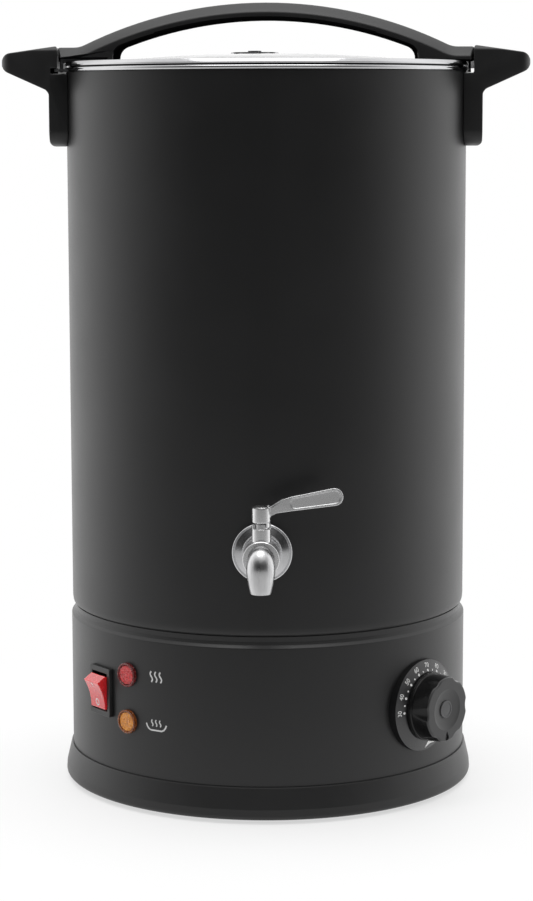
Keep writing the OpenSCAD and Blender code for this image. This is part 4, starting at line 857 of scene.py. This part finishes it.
def build_signs():
    add_sign("heat_mark", Z_HEAT_SIGN,
             [(wave(x, -2.9, 5.8, 0.75), SIGN_LINE) for x in (-3.0, 0, 3.0)])
    add_sign("warm_mark", Z_WARM_SIGN,
             [(BOWL, SIGN_LINE)] + [(wave(x, -0.4, 3.6, 0.45), 0.7) for x in (-2.6, 0, 2.6)])


# The rocker's hollow face: its radius, its depth over the wall, and its tilt at rest
ROCKER_HOLLOW_R = 27.94
ROCKER_FACE = 4.5
ROCKER_TILT = 17
# The O and the bar on the rocker, in its own frame
O_RADII = (1.75, 1.25)
O_STRETCH = 1.15
O_AT = -4.8
BAR_W = 0.56
BAR_ENDS = (4.4, 7.2)


def build_switch():
    add_piece("switch_case", softened("switch_body", 0.35), PANEL, "housing",
              ["switch_body"], weighted=True)
    add_piece("rocker", softened("switch_rocker", 0.3), RED, "rocker",
              ["switch_rocker"], weighted=True)
    outer, inner = O_RADII
    o_mark = lathe([(outer, 0), (outer, PRINT_T), (inner, PRINT_T), (inner, 0)], 28)
    for v in o_mark.verts:
        v.co.y = v.co.y * O_STRETCH + O_AT
    side, (low, high) = BAR_W / 2, BAR_ENDS
    bar = slab([(-side, low), (side, low), (side, high), (-side, high)], 0, PRINT_T)
    marks = joined([o_mark, bar])
    for v in marks.verts:
        sag = ROCKER_HOLLOW_R - math.sqrt(ROCKER_HOLLOW_R ** 2 - v.co.y ** 2)
        v.co.z += ROCKER_FACE + PRINT_LIFT + sag
    turn = Matrix.Rotation(math.radians(ROCKER_TILT), 4, "X")
    add_piece("rocker_marks", marks, PRINT, "rocker", (),
              on_wall(SWITCH_AZ, BASE_R, Z_SWITCH) @ turn)


LAMP_GLASS = {"lamp_red": ("red_lens", [RED_LENS, RED_LENS_SHADE]),
              "lamp_amber": ("amber_lens", [AMBER_LENS, AMBER_LENS_SHADE])}
LAMP_R = 6.6
LAMP_PROUD = 2.0
LAMP_DOME_R = LAMP_R - 1.5
LAMP_DOME_H = 0.55
LAMP_STEM_R = 5.2
LAMP_LENGTH = 14


def build_lamps():
    shares = [1 - i / 8 for i in range(9)]
    dome = [(LAMP_DOME_R * s, LAMP_PROUD - LAMP_DOME_H + LAMP_DOME_H * (1 - s ** 2))
            for s in shares]
    rim = soft_outline([
        (LAMP_STEM_R, -LAMP_LENGTH), (LAMP_STEM_R, -0.6), (LAMP_R, -0.6, 0.1),
        (LAMP_R, LAMP_PROUD, 0.6), (LAMP_R - 0.9, LAMP_PROUD, 0.4),
        (LAMP_DOME_R + 0.15, LAMP_PROUD - 0.95, 0.2), dome[0]], closed=False)
    for node, z in LAMP_ZS.items():
        slot, glass = LAMP_GLASS[node]
        place = on_wall(LAMP_AZ, BASE_R, z)
        head = lathe([(0, -LAMP_LENGTH)] + rim[:-1] + dome, 96)
        head = cut(head, [wall_core(place, z)])
        # Faces beyond the dome, on the rim and the side, take the lens's darker copy: painted shade
        for f in head.faces:
            rim_in_painted_shade = f.calc_center_median().xy.length > LAMP_DOME_R + 0.1
            f.material_index = 1 if rim_in_painted_shade else 0
        add_piece(node + "_lens", head, glass, "housing", [node], place)
        barrel = slab(circle_points(LAMP_STEM_R - 0.01, 64), -LAMP_LENGTH, 0.4)
        add_piece(node + "_barrel", barrel, PANEL, "housing", (), place)


# ---- Tap ----

# How far the stem's and the spout's axes stand out from the wall
STEM_OUT = 17.0
SPOUT_OUT = 29.4
BARREL_R = 9.7
BARREL_HALF = 7.6
CHAMBER_R = 7
BORE = 3.4
SHANK_R = 8
SHANK_END = -16.5
ROSETTE_R = 16
ROSETTE_LOW = 1.6
ROSETTE_TOP = 5.6
WELL_R = 5.15
# The spout's outline from the top of its dome down its side, over its lip and up its bore
NOZZLE = ((0, 7.3), (1.6, 7.1), (3.2, 6.3), (4.7, 4.9), (5.9, 3.1), (6.8, 1.0), (7.3, -1.2),
          (7.53, -3.2), (7.55, -4.8), (7.4, -6.6), (7.1, -8.8), (6.65, -11.4), (6.1, -14),
          (5.65, -16.0), (5.45, -16.7), (5.0, -17.0), (4.3, -17.0), (3.8, -16.6),
          (3.8, 1.5), (2.6, 2.9), (0, 3.6))


def build_tap():
    axis = on_wall(0, SHELL_R, Z_TAP)
    hole = SHANK_R + 0.05
    edge = ROSETTE_R - 0.6
    rosette = lathe(soft_outline([
        (hole, ROSETTE_LOW), (edge, ROSETTE_LOW, 0.3), (ROSETTE_R, 2.2, 0.3),
        (ROSETTE_R, 3.2, 0.4), (edge, 3.7, 0.35), (14.6, 3.25, 0.3), (BARREL_R + 0.9, 4.6, 0.4),
        (BARREL_R + 0.4, ROSETTE_TOP, 0.3), (hole, ROSETTE_TOP)]), 128)
    add_piece("tap_rosette", rosette, TURNED, "housing", ["tap_flange"], axis)

    back = STEM_OUT - BARREL_HALF
    front = STEM_OUT + BARREL_HALF
    barrel = lathe(soft_outline([
        (BORE, SHANK_END), (SHANK_R - 1, SHANK_END, 0.3), (SHANK_R, SHANK_END + 1, 0.2),
        (SHANK_R, ROSETTE_TOP), (BARREL_R, ROSETTE_TOP, 0.6), (BARREL_R, front - 0.3, 0.25),
        (BARREL_R - 0.4, front + 0.1, 0.2), (CHAMBER_R, front + 0.17), (CHAMBER_R, back),
        (BORE, back)], steps=6), 128)
    well = slab(circle_points(WELL_R, 64), 8, 30)
    well.transform(axis.inverted() @ Matrix.Translation((0, -(SHELL_R + STEM_OUT), Z_TAP)))
    add_piece("tap_barrel", cut(barrel, [well]), TAP_STEEL, "housing",
              ["tap_body"], axis)

    spout_at = Matrix.Translation((0, -(SHELL_R + SPOUT_OUT), Z_TAP))
    trim = slab(rectangle(60, 60), -30, front + 0.2)
    trim.transform(spout_at.inverted() @ axis)
    add_piece("tap_nozzle", cut(lathe(NOZZLE, 96), [trim]), SPOUT_STEEL, "housing",
              ["tap_spout"], spout_at)
    neck = lathe(soft_outline([(BORE, front + 0.2), (7.2, front + 0.2), (6.2, SPOUT_OUT - 0.5),
                               (BORE, SPOUT_OUT - 0.5)]), 96)
    plug_r = CHAMBER_R - 0.05
    plug = lathe([(BORE, front - 1.2), (plug_r, front - 1.2), (plug_r, front + 0.25),
                  (BORE, front + 0.25)], 96)
    add_piece("tap_neck", joined([neck, plug]), TAP_STEEL, "housing", (), axis)

    add_piece("tap_bonnet_ring", softened("tap_bonnet", 0.3), TAP_STEEL, "housing",
              ["tap_bonnet"], weighted=True)
    add_piece("tap_lever_arm", softened("tap_lever", 0.4), TAP_STEEL, "tap_handle",
              ["tap_lever"], weighted=True)


def build_handles():
    bridge = softened("lid_handle", 0.8)
    bridge.normal_update()
    for f in bridge.faces:
        # The underside and the faces across the arch's ends take a darker, dull copy of the
        # bakelite: painted shade
        underside = f.normal.z < -0.25
        across = max(abs(f.normal.y), f.normal.z) < 0.1
        f.material_index = 1 if underside or across else 0
    add_piece("lid_bridge", bridge, [BAKELITE, BAKELITE_SHADE], "lid",
              ["lid_handle"], smooth=25)
    for node in ("side_handle_left", "side_handle_right"):
        add_piece(node + "_grip", softened(node, 0.7), BAKELITE, "housing",
                  [node], smooth=25)


# ---- What keeps its CAD shape ----

CAD_FINISH = {
    "insulation": FIBRE, "foot_ring": BAKELITE, "bottom_plate": ZINC, "rubber_feet": RUBBER,
    "bottom_screws": ZINC, "heater_plate": ALUMINIUM, "heating_element": SHEATH,
    "heater_clamp": ZINC, "clamp_nut": ZINC, "thermal_cutout": PANEL, "handle_screws": ZINC,
    "tap_washer_outer": SILICONE, "tap_washer_inner": SILICONE, "tap_spacer": TURNED,
    "tap_nut": TURNED, "tap_seats": PTFE, "thermostat_body": ZINC, "thermostat_bulb": COPPER,
    "thermostat_screws": ZINC, "switch_terminals": BRASS, "lamp_clips": PANEL,
    "power_inlet": PANEL, "inlet_pins": BRASS, "inlet_screws": ZINC, "terminal_block": CERAMIC,
    # The lock plates take the darkened zinc steel, which paints the shade of the gap they sit in
    "lid_gasket": SEAL, "lid_screws": ZINC, "lock_plates": ZINC_SHADE, "tap_ball": POLISHED,
    "tap_stem": TURNED, "thermostat_shaft": TURNED,
}


def dress_cad():
    for node, finish in CAD_FINISH.items():
        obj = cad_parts[node]
        obj.data.materials.clear()
        obj.data.materials.append(finish)


# ---- Floor, light and camera ----

# The studio's brightness over a direction's part along an axis: axis, from, to, least, most.
SKY_RAMPS = (("Y", -0.80, 0.45, 0.035, 1.45), ("Z", 0.35, 0.80, 0.035, 1.0))
FLOOR_REACH = 1.5
FLOOR_RINGS = 40
FLOOR_STEPS = 96
# The floor's evenly white part grows from a share near the object to all, over these distances.
WHITE_FROM = (0.13, 0.34)
WHITE_SHARE = (0.60, 1.0)
# The floor's brightness in reflections grows from the front to the rear, between these places.
GLOW_FROM = (-0.5, 0.3)
GLOW = (0.6, 1.4)
LIGHT_PLACE = (0.0, -0.35, 1.9)
LIGHT_AIM = (0, 0, 0.3)
LIGHT_SIZE = (1.5, 1.2)
LIGHT_POWER = 13


def choose(tree, factor, first, second):
    """A value between two by the factor; each is a number or another node's output."""
    n = node_of(tree, "ShaderNodeMix", data_type="FLOAT")
    tree.links.new(factor, n.inputs["Factor"])
    for socket, value in (("A", first), ("B", second)):
        if isinstance(value, float):
            n.inputs[socket].default_value = value
        else:
            tree.links.new(value, n.inputs[socket])
    return n.outputs["Result"]


def build_floor():
    bm = bmesh.new()
    rows = [ring(bm, [FLOOR_REACH * i / FLOOR_RINGS] * FLOOR_STEPS, 0)
            for i in range(FLOOR_RINGS + 1)]
    skin(bm, rows[::-1])
    floor = object_from(bm, "floor")
    mat = surface("pale_floor", (0.90, 0.90, 0.90), 0.75, grain=2.0, shift=0.01, patch=200)
    floor.data.materials.append(mat)
    tree = mat.node_tree
    where = tree.nodes["Texture Coordinate"].outputs["Object"]
    path = node_of(tree, "ShaderNodeLightPath")
    seen = math_of(tree, "MAXIMUM", path.outputs["Is Camera Ray"], path.outputs["Is Glossy Ray"])
    seen = math_of(tree, "MAXIMUM", seen, path.outputs["Is Transmission Ray"])
    away = map_range(tree, coordinate(tree, where, "R"), WHITE_FROM, WHITE_SHARE, "SMOOTHSTEP")
    glow = map_range(tree, coordinate(tree, where, "Y"), GLOW_FROM, GLOW, "SMOOTHSTEP")
    white = node_of(tree, "ShaderNodeEmission")
    tree.links.new(choose(tree, path.outputs["Is Glossy Ray"], 1.0, glow),
                   white.inputs["Strength"])
    mix = node_of(tree, "ShaderNodeMixShader")
    tree.links.new(math_of(tree, "MULTIPLY", seen, away), mix.inputs[0])
    tree.links.new(tree.nodes["Principled BSDF"].outputs[0], mix.inputs[1])
    tree.links.new(white.outputs[0], mix.inputs[2])
    tree.links.new(mix.outputs[0], tree.nodes["Material Output"].inputs["Surface"])


def build_world():
    """A white studio whose camera side is dim near the horizon, as behind a photographer."""
    world = bpy.data.worlds.new("studio")
    bpy.context.scene.world = world
    world.use_nodes = True
    tree = world.node_tree
    way = node_of(tree, "ShaderNodeTexCoord").outputs["Generated"]
    levels = [map_range(tree, coordinate(tree, way, axis), (low, high), (least, most),
                        "SMOOTHSTEP") for axis, low, high, least, most in SKY_RAMPS]
    sky = math_of(tree, "MAXIMUM", *levels)
    path = node_of(tree, "ShaderNodeLightPath")
    seen = math_of(tree, "MAXIMUM", path.outputs["Is Camera Ray"],
                   path.outputs["Is Transmission Ray"])
    back = tree.nodes["Background"]
    tree.links.new(choose(tree, seen, sky, 1.0), back.inputs["Strength"])
    back.inputs["Color"].default_value = (1, 1, 1, 1)


def build_light():
    """A softbox over the object, a little in front of it."""
    data = bpy.data.lights.new("top_light", "AREA")
    data.shape = "RECTANGLE"
    data.size, data.size_y = LIGHT_SIZE
    data.energy = LIGHT_POWER
    light = bpy.data.objects.new("top_light", data)
    light.location = LIGHT_PLACE
    aim = Vector(LIGHT_AIM) - Vector(LIGHT_PLACE)
    light.rotation_euler = aim.to_track_quat("-Z", "Y").to_euler()
    bpy.context.scene.collection.objects.link(light)


# The camera as solved from the photograph: millimetres, degrees, and the focal length in pixels
CAMERA_AZ = 1.45
CAMERA_D = 1404.37
CAMERA_Z = 380.62
CAMERA_PITCH = 7.861
CAMERA_ROLL = -0.148969
FOCAL_PX = 2475.04
FRAME_H = 901
SHIFT_X = -0.00095


def build_camera():
    data = bpy.data.cameras.new("camera")
    data.sensor_width = 36
    data.sensor_fit = "AUTO"
    data.lens = FOCAL_PX / FRAME_H * data.sensor_width
    data.shift_x = SHIFT_X
    data.clip_end = 20
    cam = bpy.data.objects.new("camera", data)
    a, p = math.radians(CAMERA_AZ), math.radians(CAMERA_PITCH)
    cam.location = (CAMERA_D * MM * math.sin(a), -CAMERA_D * MM * math.cos(a), CAMERA_Z * MM)
    forward = Vector((-math.sin(a) * math.cos(p), math.cos(a) * math.cos(p), -math.sin(p)))
    roll = Matrix.Rotation(math.radians(CAMERA_ROLL), 3, "Z")
    cam.rotation_euler = (forward.to_track_quat("-Z", "Y").to_matrix() @ roll).to_euler()
    bpy.context.scene.collection.objects.link(cam)
    bpy.context.scene.camera = cam


build_housing()
build_pot()
build_lid()
build_handles()
build_tap()
build_dial()
build_knob()
build_switch()
build_lamps()
build_signs()
dress_cad()
build_floor()
build_world()
build_light()
build_camera()
bpy.context.scene.view_settings.view_transform = "Standard"
